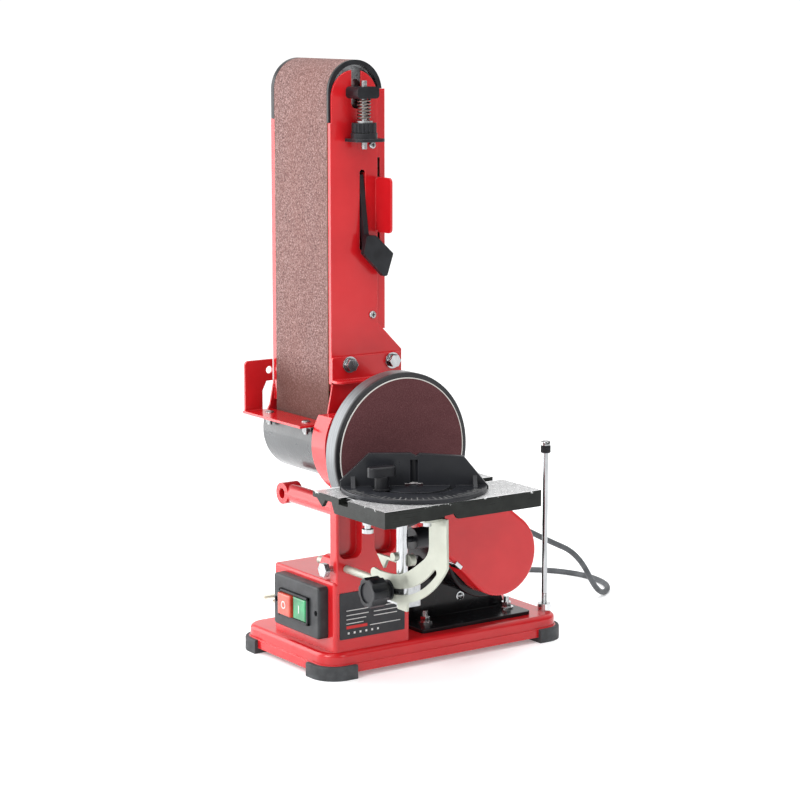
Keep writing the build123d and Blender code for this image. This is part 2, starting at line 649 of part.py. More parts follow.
def work_stop_screws():
    """Two hexagon screws from below, each with its washer."""
    under = SHELF_BOTTOM - DRUM_COVER_SHEET
    screws = []
    for y in (103.0, 174.0):
        screw = rod_z(SHELF_SCREW_X, y, under - 1.5, under, 5.0)
        screw += hexagon_rod("z", (SHELF_SCREW_X, y), under - 6.5, under - 1.5, 8.0)
        screws.append(screw + rod_z(SHELF_SCREW_X, y, under - 9.0, under - 6.0, 2.4))
    return screws


def arm_screws():
    return group(*frame_screws(), *work_stop_screws())


def outer_bearing():
    ring = rod_y(0, 0, PLATE_FAR, PLATE_FAR + 12, BEARING_RADIUS + 3)
    return ring - rod_y(0, 0, PLATE_FAR - 1, PLATE_FAR + 9, SHAFT_RADIUS + 0.04)


def idler_guards():
    """Black end arches that close the gap between the belt edges and the side plates."""
    guards = []
    for near, far in ((PLATE_NEAR + SHEET, BELT_NEAR - 0.5), (BELT_FAR + 0.5, PLATE_FAR - SHEET)):
        arch = Pos(0, CENTRE_DISTANCE) * Circle(BELT_OUTER)
        arch += outline(
            ((-BELT_OUTER, CENTRE_DISTANCE), (0, CENTRE_DISTANCE), (0, 326.7), (-BELT_OUTER, 326.7))
        )
        arch -= Pos(0, CENTRE_DISTANCE) * Circle(BELT_OUTER - 5)
        arch -= outline(((-27.5, 360.0), (60, 360.0), (60, 320.0), (-27.5, 320.0)))
        guards.append(slab_y(arch, near, far).solids()[0])
    return group(*guards)


# ---- idler, tension and tracking -----------------------------------------------------------------
def idler_roller():
    roller = rod_y(0, CENTRE_DISTANCE, 90.0, 186.0, DRUM_RADIUS)
    roller = chamfer(roller.edges().filter_by(GeomType.CIRCLE), 1.0)
    roller -= rod_y(0, CENTRE_DISTANCE, 89.0, 102.0, DRUM_RADIUS - 5)
    roller -= rod_y(0, CENTRE_DISTANCE, 174.0, 187.0, DRUM_RADIUS - 5)
    roller += rod_y(0, CENTRE_DISTANCE, 91.0, 185.0, 14.0)
    return roller - rod_y(0, CENTRE_DISTANCE, 80.0, 200.0, 5.05)


def idler_axle():
    return rod_y(0, CENTRE_DISTANCE, 78.0, 204.0, 5.0)


def idler_carriage():
    """Black slide block on the front plate, tied to its partner on the far plate by the axle."""
    near = block(-13.0, 13.0, MECHANISM_Y - 8.5, PLATE_NEAR - 0.4, CENTRE_DISTANCE - 6, CENTRE_DISTANCE + 6)
    near = fillet(near.edges().filter_by(Axis.Y), 4.0)
    near -= rod_y(0, CENTRE_DISTANCE, 78.0, 90.0, 5.0)
    near -= rod_z(0, MECHANISM_Y, CENTRE_DISTANCE - 7, CENTRE_DISTANCE + 7, 3.3)
    far = block(-13.0, 13.0, PLATE_FAR + 0.4, PLATE_FAR + 10, CENTRE_DISTANCE - 10, CENTRE_DISTANCE + 10)
    far = fillet(far.edges().filter_by(Axis.Y), 4.0)
    far -= rod_y(0, CENTRE_DISTANCE, PLATE_FAR, PLATE_FAR + 8, 5.0)
    return group(near, far)


SPRING_LOW, SPRING_HIGH = 328.6, CENTRE_DISTANCE - 6


def tension_spring():
    turns = 6
    wire = 1.0
    height = SPRING_HIGH - SPRING_LOW - 2 * wire - 0.1
    path = Pos(0, MECHANISM_Y, SPRING_LOW + wire + 0.05) * Helix(height / turns, height, 6.0)
    start = path @ 0
    section = Plane(origin=start, z_dir=path % 0) * Circle(wire)
    return sweep(section, path, is_frenet=True)


def tracking_screw():
    screw = rod_z(0, MECHANISM_Y, 300.0, CENTRE_DISTANCE + 12, 3.0)
    return screw + rod_z(0, MECHANISM_Y, 326.6, SPRING_LOW, 8.6)


def tracking_knob():
    knob = rod_z(0, MECHANISM_Y, 316.6, 326.6, 12.6)
    grooves = [
        Pos(0, MECHANISM_Y, 321.6) * Rot(0, 0, 20 * n) * Pos(12.8, 0, 0) * Cylinder(1.2, 12)
        for n in range(18)
    ]
    return knob - grooves - rod_z(0, MECHANISM_Y, 315, 328, 3.0)


def tracking_bracket():
    shelf = block(-14.0, 20.0, MECHANISM_Y - 14, PLATE_NEAR, 307.5, 310.5)
    shelf = fillet(shelf.edges().filter_by(Axis.Z).sort_by(Axis.Y)[:2], 9.0)
    collar = rod_z(0, MECHANISM_Y, 310.5, 316.3, 13.5)
    return shelf + collar - rod_z(0, MECHANISM_Y, 300, 320, 3.05)


def tension_lever():
    """Bent lever: a bar in the side plate's slot and a flat paddle outside it."""
    bar = outline(
        (
            (LEVER_PIVOT_Y - 5, LEVER_PIVOT_Z + 5), (LEVER_PIVOT_Y + 6, LEVER_PIVOT_Z + 5),
            (LEVER_PIVOT_Y + 6, LEVER_PIVOT_Z - 14), (84.0, 222.0), (80.0, 203.0),
            (71.0, 203.0), (71.0, 211.0), (75.0, 213.0),
        )
    )
    lever = slab_x(bar, LEVER_NEAR_X, LEVER_FAR_X)
    paddle = outline(((4.5, 212.0), (15.5, 211.5), (37.0, 192.0), (29.5, 169.5), (25.0, 169.0), (0.5, 193.5)))
    paddle = fillet(paddle.vertices(), 1.5)
    lever += slab_y(paddle, 70.0, 76.0)
    return lever + rod_x(LEVER_PIVOT_Y, LEVER_PIVOT_Z, 0.8, 12.6, LEVER_PIN_RADIUS)


# ---- table support -------------------------------------------------------------------------------
def support_bar():
    return rod_y(BAR_X, BAR_Z, POST_Y + 16.0, 112.0, BAR_RADIUS)


def clamp_block():
    body = block(-32.2, -12.0, POST_Y - 16, POST_Y + 24, -147.0, -124.0)
    body = fillet(body.edges().filter_by(Axis.Z), 5.0)
    body -= rod_y(BAR_X, BAR_Z, POST_Y + 16, 0.0, BAR_RADIUS)
    body -= rod_z(POST_X, POST_Y, -150, -120, POST_RADIUS)
    return body - rod_x(KNOB_Y, KNOB_Z, -40, -22, 3.05)


def table_post():
    post = rod_z(POST_X, POST_Y, -150.0, -66.0, POST_RADIUS)
    return post - rod_x(POST_Y, POST_KNOB_Z, POST_X - 1.0, POST_X + 10.0, 3.05)


def pointer():
    """Scale pointer on the post, with the screw that holds it."""
    arm = block(POST_X - 2, POST_X + 2, POST_Y + POST_RADIUS, POST_Y + 30, -106.0, -103.0)
    tip = outline(((POST_Y + 22, -103.0), (POST_Y + 42, -103.0), (POST_Y + 30, -116.0)))
    return group(arm + slab_x(tip, POST_X - 2, POST_X + 1), *pointer_screws())


def pointer_screws():
    """Slotted screw on the post's left, washered screw on its right."""
    near = rod_x(POST_Y + 1.5, -98.0, POST_X - 10.5, POST_X - POST_RADIUS + 0.6, 4.4)
    far = rod_x(POST_Y - 5.0, -102.0, POST_X + POST_RADIUS - 2.2, POST_X + 10.0, 6.0)
    post = rod_z(POST_X, POST_Y, -120.0, -90.0, POST_RADIUS)
    return [near - post, far - post]


# ---- tilting table -------------------------------------------------------------------------------
def table_ribs():
    """Fine grooves along the table, left out beside the mitre slot."""
    left, right = TABLE_LEFT - 1, TABLE_RIGHT + 1
    grooves = []
    for n in range(1, int((TABLE_BACK - TABLE_FRONT) / GROOVE_PITCH)):
        y = TABLE_FRONT + n * GROOVE_PITCH
        if abs(y - SLOT_Y) > SLOT_WIDTH / 2 + 2:
            grooves.append(block(left, right, y - 0.7, y + 0.7, TABLE_TOP - 0.6, TABLE_TOP + 1))
    return grooves


def sanding_table():
    top = block(TABLE_LEFT, TABLE_RIGHT, TABLE_FRONT, TABLE_BACK, TABLE_TOP - TABLE_PLATE, TABLE_TOP)
    channel = block(TABLE_LEFT, TABLE_RIGHT, SLOT_Y - 13, SLOT_Y + 13, TABLE_TOP - 11.2, TABLE_TOP - 1)
    skirt_top = TABLE_TOP - 1
    front = outline(
        (
            (TABLE_LEFT, skirt_top), (TABLE_RIGHT, skirt_top), (TABLE_RIGHT, APRON_BOTTOM),
            (-24.0, APRON_BOTTOM), (-28.0, APRON_BOTTOM + 5.5), (-100.0, APRON_BOTTOM),
            (TABLE_LEFT, APRON_BOTTOM),
        )
    )
    side = outline(
        (
            (TABLE_FRONT, skirt_top), (TABLE_BACK - 1, skirt_top), (-19.4, APRON_BOTTOM + 3),
            (-28.6, skirt_top), (-33.5, skirt_top), (-41.0, APRON_BOTTOM), (TABLE_FRONT, APRON_BOTTOM),
        )
    )
    table = joined(
        top, channel,
        slab_y(front, TABLE_FRONT, TABLE_FRONT + APRON),
        slab_x(side, TABLE_LEFT, TABLE_LEFT + APRON),
        slab_x(side, TABLE_RIGHT - APRON, TABLE_RIGHT),
        block(-56.0, -33.0, -119.0, -88.0, QUADRANT_FLANGE_TOP, TABLE_TOP - 3),
    )
    slot = block(
        TABLE_LEFT - 1, TABLE_RIGHT + 1,
        SLOT_Y - SLOT_WIDTH / 2, SLOT_Y + SLOT_WIDTH / 2,
        TABLE_TOP - SLOT_DEPTH, TABLE_TOP + 1,
    )
    return table - slot - table_ribs()


QUADRANT_FLANGE_TOP = -43.8


def polar(radius, angle):
    """Point of the quadrant's plane, angle measured from straight down towards the operator."""
    return TILT_Y - radius * sin(radians(angle)), TILT_Z - radius * cos(radians(angle))


def tilt_quadrant():
    strap_back, strap_front = -95.7, -125.0
    outer_start = polar(QUADRANT_RADIUS, 56.0)
    outer_mid = polar(QUADRANT_RADIUS, 30.0)
    outer_end = polar(QUADRANT_RADIUS, 5.0)
    finger = (6.0, -122.0)
    edge = [
        Line((strap_back, QUADRANT_FLANGE_TOP), (strap_back, -74.0)),
        Spline(
            (strap_back, -74.0), (-84.0, -92.5), (-60.0, -107.5), (-39.0, -114.8), (-16.0, -116.8),
            (0.0, -115.4),
            tangents=((0, -1), (1, 0.15)),
        ),
        ThreePointArc((0.0, -115.4), finger, (1.0, -127.6)),
        Line((1.0, -127.6), (-9.0, -128.2)),
        Line((-9.0, -128.2), (-16.0, -143.3)),
        Line((-16.0, -143.3), outer_end),
        ThreePointArc(outer_end, outer_mid, outer_start),
        Line(outer_start, (strap_front, -62.0)),
        Line((strap_front, -62.0), (strap_front, QUADRANT_FLANGE_TOP)),
        Line((strap_front, QUADRANT_FLANGE_TOP), (strap_back, QUADRANT_FLANGE_TOP)),
    ]
    plate = make_face(edge)
    plate += outline(((-60.0, -138.0), (-39.5, -138.0), (-42.0, -149.3), (-57.5, -149.3)))
    slot = SlotArc(CenterArc((TILT_Y, TILT_Z), QUADRANT_SLOT, 270 - 46.3, 46.3 + 2.4), 6.4)
    solid = slab_x(plate - slot, QUADRANT_X, QUADRANT_X + QUADRANT_SHEET)
    flange = block(-54.0, QUADRANT_X + 0.5, -118.0, -96.0, QUADRANT_FLANGE_TOP - 2.4, QUADRANT_FLANGE_TOP)
    return solid + fillet(flange.edges().filter_by(Axis.Z).sort_by(Axis.X)[:2], 5.0)


def quadrant_bolt():
    low = QUADRANT_FLANGE_TOP - 2.4
    bolt = rod_z(-45.5, -107.0, low - 1.4, low, 7.2)
    return bolt + hexagon_rod("z", (-45.5, -107.0), low - 5.4, low - 1.4, 8.0)


def table_screw():
    """Levelling screw and nut under the table's left side."""
    bottom = TABLE_TOP - TABLE_PLATE
    screw = rod_z(-99.0, -84.0, bottom - 20.0, bottom, 3.0)
    screw += hexagon_rod("z", (-99.0, -84.0), bottom - 15.0, bottom - 9.0, 10.0)
    return screw + rod_z(-99.0, -84.0, bottom - 23.0, bottom - 19.0, 5.5)


def tilt_knob():
    """Round clamp knob on a screw through the quadrant's slot into the clamp block."""
    screw = rod_x(KNOB_Y, KNOB_Z, -46.0, -24.0, 3.0)
    hub = rod_x(KNOB_Y, KNOB_Z, -46.0, QUADRANT_X - 2.0, 8.5)
    washer = rod_x(KNOB_Y, KNOB_Z, QUADRANT_X - 2.0, QUADRANT_X - 0.35, 10.5)
    grip = rod_x(KNOB_Y, KNOB_Z, -62.0, -44.0, 15.5)
    grip = fillet(grip.edges().filter_by(GeomType.CIRCLE), 2.0)
    grip -= rod_x(KNOB_Y, KNOB_Z, -63.0, -60.5, 10.5)
    notches = [
        Pos(-53, KNOB_Y, KNOB_Z) * Rot(60 * n, 0, 0) * Pos(0, 0, 19.5) * Rot(0, 90, 0) * Cylinder(6.5, 20)
        for n in range(6)
    ]
    return joined(screw, hub, washer, grip - notches)


def table_fasteners():
    return group(quadrant_bolt(), table_screw())


def table_knob():
    """Black clamp knob on a stud in the post's right side."""
    grip = rod_x(POST_Y, POST_KNOB_Z, -13.5, 6.5, 10.8)
    grip = fillet(grip.edges().filter_by(GeomType.CIRCLE).sort_by(Axis.X)[-1], 2.0)
    return grip + rod_x(POST_Y, POST_KNOB_Z, POST_X - 0.5, -13.0, 3.0)


def bar_clamp():
    """Hexagon screw in the column's side that locks the table's support bar."""
    y = BOX_FRONT + 10
    screw = rod_x(y, BAR_Z, -47.0, BAR_X - BAR_RADIUS - 0.1, 2.95)
    return screw + hexagon_rod("x", (y, BAR_Z), -52.0, -46.0, 13.5)


# ---- mitre gauge ---------------------------------------------------------------------------------
def mitre_bar():
    bar = block(
        -101.0, 44.0,
        SLOT_Y - SLOT_WIDTH / 2 + 0.35, SLOT_Y + SLOT_WIDTH / 2 - 0.35,
        TABLE_TOP - SLOT_DEPTH + 0.35, TABLE_TOP,
    )
    bar += rod_z(MITRE_X, SLOT_Y, TABLE_TOP - 1, MITRE_FLOOR + 4.4, 4.0)
    return bar + rod_z(MITRE_X - MITRE_KNOB_RADIUS, SLOT_Y, TABLE_TOP - 1, MITRE_FLOOR + 12, 3.0)


def mitre_head():
    """Half-round protractor with an upright fence, turning on the bar's pin."""
    half = Circle(MITRE_RADIUS) & (Pos(0, -MITRE_RADIUS) * Rectangle(2 * MITRE_RADIUS, 2 * MITRE_RADIUS))
    plate = extrude(half, 4.0)
    plate = fillet(plate.edges().filter_by(GeomType.CIRCLE).sort_by(Axis.Z)[-1], 1.0)
    plate += extrude(Rectangle(20, 16), 4.0)
    slot = SlotArc(CenterArc((0, 0), MITRE_KNOB_RADIUS, 182.0, 176.0), 6.8)
    plate -= extrude(slot, 5.0)
    fence = outline(
        (
            (-72.8, 0.0), (73.5, 0.0), (73.5, 3.0), (49.0, 33.0), (6.0, 36.0), (2.0, 33.5), (-3.0, 36.5),
            (-44.5, 36.5), (-72.8, 9.0),
        )
    )
    fence = slab_y(fence, -1.5, 4.5)
    fence -= block(-9, 9, -3, 6, -1, 6.5)
    for x in (-60.0, 60.0):
        plate += slab_x(outline(((-12.0, 4.0), (0.0, 4.0), (0.0, 15.0))), x - 2, x + 2)
    head = plate + fence - rod_z(0, 0, -1, 30, 4.05)
    return Pos(MITRE_X, SLOT_Y, MITRE_FLOOR) * Rot(0, 0, MITRE_ANGLE) * head


def mitre_knob():
    x, y = MITRE_X - MITRE_KNOB_RADIUS, SLOT_Y
    low = MITRE_FLOOR + 4.4
    knob = rod_z(x, y, low, low + 1.2, 9.3)
    knob += rod_z(x, y, low + 1.2, low + 13.0, 7.2)
    wings = extrude(Pos(x, y, low + 13.0) * Rot(0, 0, -10.0) * SlotOverall(29.0, 13.0), 10.0)
    knob += fillet(wings.faces().sort_by(Axis.Z)[-1].edges(), 2.0)
    return knob - rod_z(x, y, low - 1, MITRE_FLOOR + 12.1, 3.05)


# ---- mains cord ----------------------------------------------------------------------------------
def cord_gland():
    """Tapered strain relief on the motor's right side."""
    start = MOTOR_X + MOTOR_RADIUS - 1.0
    nut = rod_x(140.0, MOTOR_Z, start, start + 5.0, 8.0) - rod_y(MOTOR_X, MOTOR_Z, 100, 190, MOTOR_RADIUS)
    sleeve = Pos((start + 5 + CORD_ROUTE[0][0]) / 2, 140.0, MOTOR_Z) * Rot(0, 90, 0)
    length = CORD_ROUTE[0][0] - start - 5
    return nut + sleeve * Cone(6.5, CORD_RADIUS + 0.8, length)


def corner_radii(points):
    """Largest tangent arcs that leave a tenth of each run straight."""
    radii = []
    for before, here, after in zip(points, points[1:], points[2:]):
        arriving, leaving = Vector(here) - Vector(before), Vector(after) - Vector(here)
        turn = arriving.get_angle(leaving)
        radii.append(0.45 * min(arriving.length, leaving.length) / tan(radians(turn / 2)))
    return radii


def mains_cord():
    radii = corner_radii(CORD_ROUTE)
    print("cord radii", [round(radius) for radius in radii])
    path = FilletPolyline(*CORD_ROUTE, radius=radii)
    section = Plane(origin=path @ 0, z_dir=path % 0) * Circle(CORD_RADIUS)
    tube = sweep(section, path)
    print("cord length", round(path.length), "ratio", round(tube.volume / (path.length * section.area), 4))
    return tube


def cord_coil():
    width = 2 * CORD_RADIUS * COIL_TURNS_WIDE
    height = 2 * CORD_RADIUS * COIL_TURNS_HIGH
    ring = Cylinder(COIL_MEAN + width / 2, height) - Cylinder(COIL_MEAN - width / 2, height + 2)
    ring = Pos(COIL_X, COIL_Y, FLOOR + height / 2 + 0.05) * ring
    return fillet(ring.edges().filter_by(GeomType.CIRCLE), 2.5)


def mains_plug():
    """Round two-pin plug lying beside the coil."""
    x, y, z = COIL_X - 62.0, COIL_Y - 20.0, FLOOR + 13.6
    body = rod_x(y, z, x - 22.0, x, 13.5)
    body = fillet(body.edges().filter_by(GeomType.CIRCLE), 3.0)
    body += Pos(x + 8.0, y, z) * Rot(0, 90, 0) * Cone(7.5, 4.5, 17.0)
    body += rod_x(y, z, x + 15.0, x + 27.0, CORD_RADIUS)
    for side in (-9.5, 9.5):
        body += rod_x(y + side, z, x - 41.0, x - 20.0, 2.4)
    return body


PARTS = {
    "base_tray": base_tray,
    "corner_feet": corner_feet,
    "body_casting": body_casting,
    "shaft_bearings": shaft_bearings,
    "switch_bezel": switch_bezel,
    "switch_block": switch_block,
    "stop_button": lambda: button(STOP_SPAN, -61.5),
    "start_button": lambda: button(START_SPAN, -58.5),
    "rating_plate": rating_plate,
    "bar_clamp": bar_clamp,
    "drive_cover": drive_cover,
    "cog_belt": cog_belt,
    "motor_housing": motor_housing,
    "motor_front_bell": motor_front_bell,
    "motor_rotor": motor_rotor,
    "drive_pulley": lambda: cog_pulley(MOTOR_X, MOTOR_Z, DRIVE_PULLEY_RADIUS, MOTOR_SHAFT_RADIUS),
    "motor_bracket": motor_bracket,
    "base_nuts": base_nuts,
    "stop_rod": stop_rod,
    "rod_cap": rod_cap,
    "drive_shaft": drive_shaft,
    "disc_plate": disc_plate,
    "sanding_disc": sanding_disc,
    "driven_pulley": lambda: cog_pulley(0, 0, DRIVEN_PULLEY_RADIUS, SHAFT_RADIUS),
    "drive_drum": drive_drum,
    "arm_frame": arm_frame,
    "platen": platen,
    "sanding_belt": sanding_belt,
    "rear_cover": rear_cover,
    "arm_screws": arm_screws,
    "pivot_bracket": pivot_bracket,
    "bracket_bolts": bracket_bolts,
    "drum_cover": drum_cover,
    "work_stop": work_stop,
    "outer_bearing": outer_bearing,
    "idler_guards": idler_guards,
    "idler_roller": idler_roller,
    "idler_axle": idler_axle,
    "idler_carriage": idler_carriage,
    "tension_spring": tension_spring,
    "tracking_screw": tracking_screw,
    "tracking_knob": tracking_knob,
    "tracking_bracket": tracking_bracket,
    "tension_lever": tension_lever,
    "support_bar": support_bar,
    "clamp_block": clamp_block,
    "table_post": table_post,
    "pointer": pointer,
    "sanding_table": sanding_table,
    "tilt_quadrant": tilt_quadrant,
    "table_fasteners": table_fasteners,
    "table_knob": table_knob,
    "tilt_knob": tilt_knob,
    "mitre_bar": mitre_bar,
    "mitre_head": mitre_head,
    "mitre_knob": mitre_knob,
    "cord_gland": cord_gland,
    "mains_cord": mains_cord,
    "cord_coil": cord_coil,
    "mains_plug": mains_plug,
}


def write_parts():
    os.makedirs("parts", exist_ok=True)
    to_bench = Pos(-ORIGIN_X, -ORIGIN_Y, AXIS_HEIGHT)
    for name, make in PARTS.items():
        export_step(to_bench * make(), f"parts/{name}.step")


if __name__ == "__main__":
    write_parts()
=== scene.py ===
import math

import bmesh
import bpy
from mathutils import Matrix, Vector


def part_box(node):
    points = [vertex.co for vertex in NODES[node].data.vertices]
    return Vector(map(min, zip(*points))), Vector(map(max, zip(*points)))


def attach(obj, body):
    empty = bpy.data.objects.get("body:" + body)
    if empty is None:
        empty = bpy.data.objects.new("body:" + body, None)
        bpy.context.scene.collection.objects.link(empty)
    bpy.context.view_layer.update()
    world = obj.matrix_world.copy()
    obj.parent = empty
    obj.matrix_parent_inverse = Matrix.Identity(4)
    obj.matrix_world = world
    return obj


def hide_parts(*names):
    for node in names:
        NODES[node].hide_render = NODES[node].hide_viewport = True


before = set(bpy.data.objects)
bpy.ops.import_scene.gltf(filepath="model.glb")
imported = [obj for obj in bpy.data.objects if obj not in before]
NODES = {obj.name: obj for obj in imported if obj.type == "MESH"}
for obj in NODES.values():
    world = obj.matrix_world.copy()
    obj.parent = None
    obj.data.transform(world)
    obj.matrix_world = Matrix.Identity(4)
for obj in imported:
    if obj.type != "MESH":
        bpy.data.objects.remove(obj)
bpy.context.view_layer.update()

X, Y, Z = Vector((1, 0, 0)), Vector((0, 1, 0)), Vector((0, 0, 1))

disc_low, disc_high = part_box("sanding_disc")
AXIS = Vector(((disc_low.x + disc_high.x) / 2, disc_low.y, (disc_low.z + disc_high.z) / 2))


def at(x, y, z):
    """Point given in millimetres from the drive axis, at the sanding disc's face."""
    return AXIS + Vector((x, y, z)) / 1000


# ---- material building ---------------------------------------------------------------------------
class Finish:
    """One procedural material: a Principled shader and the nodes that feed it."""

    def __init__(self, name, rough=0.5, metal=0.0, coat=0.0, coat_rough=0.05, specular=0.5):
        self.material = bpy.data.materials.new(name)
        self.material.use_nodes = True
        self.tree = self.material.node_tree
        self.shader = self.tree.nodes["Principled BSDF"]
        self.set(self.shader, "Roughness", rough)
        self.set(self.shader, "Metallic", metal)
        self.set(self.shader, "Coat Weight", coat)
        self.set(self.shader, "Coat Roughness", coat_rough)
        self.set(self.shader, "Specular IOR Level", specular)
        self.set(self.shader, "IOR", 1.5)
        self.coords = self.node("ShaderNodeTexCoord")
        self.place = self.coords.outputs["Object"]
        self.split = None
        self.normal = None

    @staticmethod
    def set(node, socket, value):
        node.inputs[socket].default_value = value

    def node(self, kind, **values):
        made = self.tree.nodes.new(kind)
        for key, value in values.items():
            setattr(made, key, value)
        return made

    def link(self, source, target):
        self.tree.links.new(source, target)

    def scaled(self, scale):
        """Object coordinates stretched along each axis."""
        mapping = self.node("ShaderNodeMapping")
        mapping.inputs["Scale"].default_value = scale
        self.link(self.place, mapping.inputs["Vector"])
        return mapping.outputs["Vector"]

    def noise(self, scale, detail=3.0, roughness=0.55, stretch=None):
        made = self.node("ShaderNodeTexNoise")
        self.set(made, "Scale", scale)
        self.set(made, "Detail", detail)
        self.set(made, "Roughness", roughness)
        self.link(self.scaled(stretch) if stretch else self.place, made.inputs["Vector"])
        return made.outputs["Fac"]

    def cells(self, scale, output="Distance"):
        made = self.node("ShaderNodeTexVoronoi", feature="F1")
        self.set(made, "Scale", scale)
        self.link(self.place, made.inputs["Vector"])
        return made.outputs[output]

    def ramp(self, value, stops):
        """Colours along a 0 to 1 value; stops are (place, colour)."""
        made = self.node("ShaderNodeValToRGB")
        elements = made.color_ramp.elements
        while len(elements) < len(stops):
            elements.new(0.5)
        for element, (place, colour) in zip(elements, stops):
            element.position = place
            element.color = (*colour, 1.0)
        self.link(value, made.inputs["Fac"])
        return made.outputs["Color"]

    def spread(self, value, low, high, from_low=0.3, from_high=0.7):
        made = self.node("ShaderNodeMapRange")
        self.set(made, "From Min", from_low)
        self.set(made, "From Max", from_high)
        self.set(made, "To Min", low)
        self.set(made, "To Max", high)
        self.link(value, made.inputs["Value"])
        return made.outputs["Result"]

    def maths(self, operation, a, b=None, clamp=False):
        made = self.node("ShaderNodeMath", operation=operation, use_clamp=clamp)
        for index, value in enumerate((a, b)):
            if value is None:
                continue
            if isinstance(value, (int, float)):
                made.inputs[index].default_value = value
            else:
                self.link(value, made.inputs[index])
        return made.outputs[0]

    def mix(self, factor, a, b):
        made = self.node("ShaderNodeMix", data_type="RGBA")
        for socket, value in ((made.inputs[0], factor), (made.inputs[6], a), (made.inputs[7], b)):
            if isinstance(value, tuple):
                socket.default_value = (*value, 1.0)
            elif isinstance(value, (int, float)):
                socket.default_value = value
            else:
                self.link(value, socket)
        return made.outputs[2]

    def position(self, axis):
        if self.split is None:
            self.split = self.node("ShaderNodeSeparateXYZ")
            self.link(self.place, self.split.inputs[0])
        return self.split.outputs["XYZ".index(axis)]

    def facing(self, axis):
        """The surface's own normal along one axis, -1 to 1."""
        made = self.node("ShaderNodeSeparateXYZ")
        self.link(self.coords.outputs["Normal"], made.inputs[0])
        return made.outputs["XYZ".index(axis)]

    def radius_from(self, centre, axes):
        """Distance from a line through the centre."""
        terms = []
        for axis in axes:
            offset = self.maths("SUBTRACT", self.position(axis), centre["XYZ".index(axis)])
            terms.append(self.maths("MULTIPLY", offset, offset))
        return self.maths("SQRT", self.maths("ADD", *terms))

    def step(self, value, edge, width):
        """0 below the edge and 1 above it."""
        return self.spread(value, 0.0, 1.0, edge - width / 2, edge + width / 2)

    def colour(self, socket):
        self.link(socket, self.shader.inputs["Base Color"])
        return self

    def rough(self, socket):
        self.link(socket, self.shader.inputs["Roughness"])
        return self

    def metal(self, socket):
        self.link(socket, self.shader.inputs["Metallic"])
        return self

    def round_edges(self, radius=0.0006):
        bevel = self.node("ShaderNodeBevel", samples=4)
        self.set(bevel, "Radius", radius)
        self.normal = bevel.outputs["Normal"]
        self.link(self.normal, self.shader.inputs["Normal"])
        return self

    def edges(self):
        """1 where the rounded normal leaves the face's own, at outer and inner edges."""
        flat = self.node("ShaderNodeNewGeometry").outputs["True Normal"]
        dot = self.node("ShaderNodeVectorMath", operation="DOT_PRODUCT")
        self.link(flat, dot.inputs[0])
        self.link(self.normal, dot.inputs[1])
        return self.spread(dot.outputs["Value"], 1.0, 0.0, 0.90, 0.995)

    def bump(self, height, strength, distance=0.0004):
        made = self.node("ShaderNodeBump")
        self.set(made, "Strength", strength)
        self.set(made, "Distance", distance)
        self.link(height, made.inputs["Height"])
        if self.normal is not None:
            self.link(self.normal, made.inputs["Normal"])
        self.normal = made.outputs["Normal"]
        self.link(self.normal, self.shader.inputs["Normal"])
        return self


def painted(name, dark, plain, light, rough=0.2, coat=0.25, peel=0.05, edge=0.7, gloss=0.36):
    """Gloss enamel: slow tone changes, orange peel, dust specks, uneven gloss and painted highlights along
    the edges.
    """
    f = Finish(name, coat=coat, coat_rough=0.06, specular=gloss)
    f.round_edges(0.0009)
    tone = f.ramp(f.noise(9.0, 4.0), [(0.3, dark), (0.5, plain), (0.72, light)])
    specks = f.step(f.noise(1400.0, 1.0), 0.73, 0.02)
    # pale is mixed in along the rounded edges, scaled by edge: a painted highlight on every edge of the
    # paint.
    pale = tuple(min(1.0, 0.12 * edge + c * (1 + 0.7 * edge)) for c in light)
    tone = f.mix(f.maths("MULTIPLY", specks, 0.25), tone, light)
    f.colour(f.mix(f.maths("MULTIPLY", f.edges(), edge), tone, pale))
    f.rough(f.spread(f.noise(38.0, 5.0), rough * 0.75, rough * 1.35))
    f.bump(f.noise(420.0, 2.0), peel, 0.0003)
    return f


def moulded(name, dark, plain, rough=0.48, grain=0.25, scale=1500.0):
    """Moulded plastic or rubber with a fine texture and light handling marks."""
    f = Finish(name, specular=0.3)
    f.round_edges(0.0007)
    f.colour(f.ramp(f.noise(60.0, 4.0), [(0.35, dark), (0.65, plain)]))
    f.rough(f.spread(f.noise(90.0, 4.0), rough * 0.8, rough * 1.2))
    f.bump(f.noise(scale, 2.0), grain, 0.0002)
    return f


def bright_metal(name, dark, light, rough=0.25, stretch=(1, 1, 1), scale=300.0, bump=0.08):
    """Bare or plated metal with drawing or turning marks along one direction."""
    f = Finish(name, metal=1.0)
    f.round_edges(0.0005)
    streaks = f.noise(scale, 4.0, 0.6, stretch)
    stain = f.noise(45.0, 4.0)
    f.colour(f.mix(f.spread(stain, 0.0, 0.55), f.ramp(streaks, [(0.3, dark), (0.7, light)]), light))
    f.rough(f.spread(streaks, rough * 0.7, rough * 1.5))
    f.bump(streaks, bump, 0.0002)
    return f


MATERIALS = {}


def red_enamel():
    return painted("red_enamel", (0.42, 0.006, 0.010), (0.52, 0.010, 0.014), (0.58, 0.016, 0.020))


def dark_drum_paint():
    """Dark grey metallic paint with a hammered surface."""
    f = painted(
        "hammered_grey", (0.030, 0.034, 0.036), (0.052, 0.057, 0.060), (0.08, 0.086, 0.09),
        rough=0.30, coat=0.3, peel=0.05, edge=0.2,
    )
    f.bump(f.cells(420.0), 0.25, 0.0004)
    return f


def black_enamel():
    return painted(
        "black_enamel", (0.004, 0.004, 0.005), (0.007, 0.007, 0.008), (0.012, 0.012, 0.014),
        rough=0.18, coat=0.08, peel=0.05, edge=0.3, gloss=0.22,
    )


def satin_black():
    return painted(
        "satin_black", (0.007, 0.007, 0.009), (0.013, 0.014, 0.017), (0.022, 0.023, 0.028),
        rough=0.34, coat=0.03, peel=0.12, edge=0.5, gloss=0.25,
    )


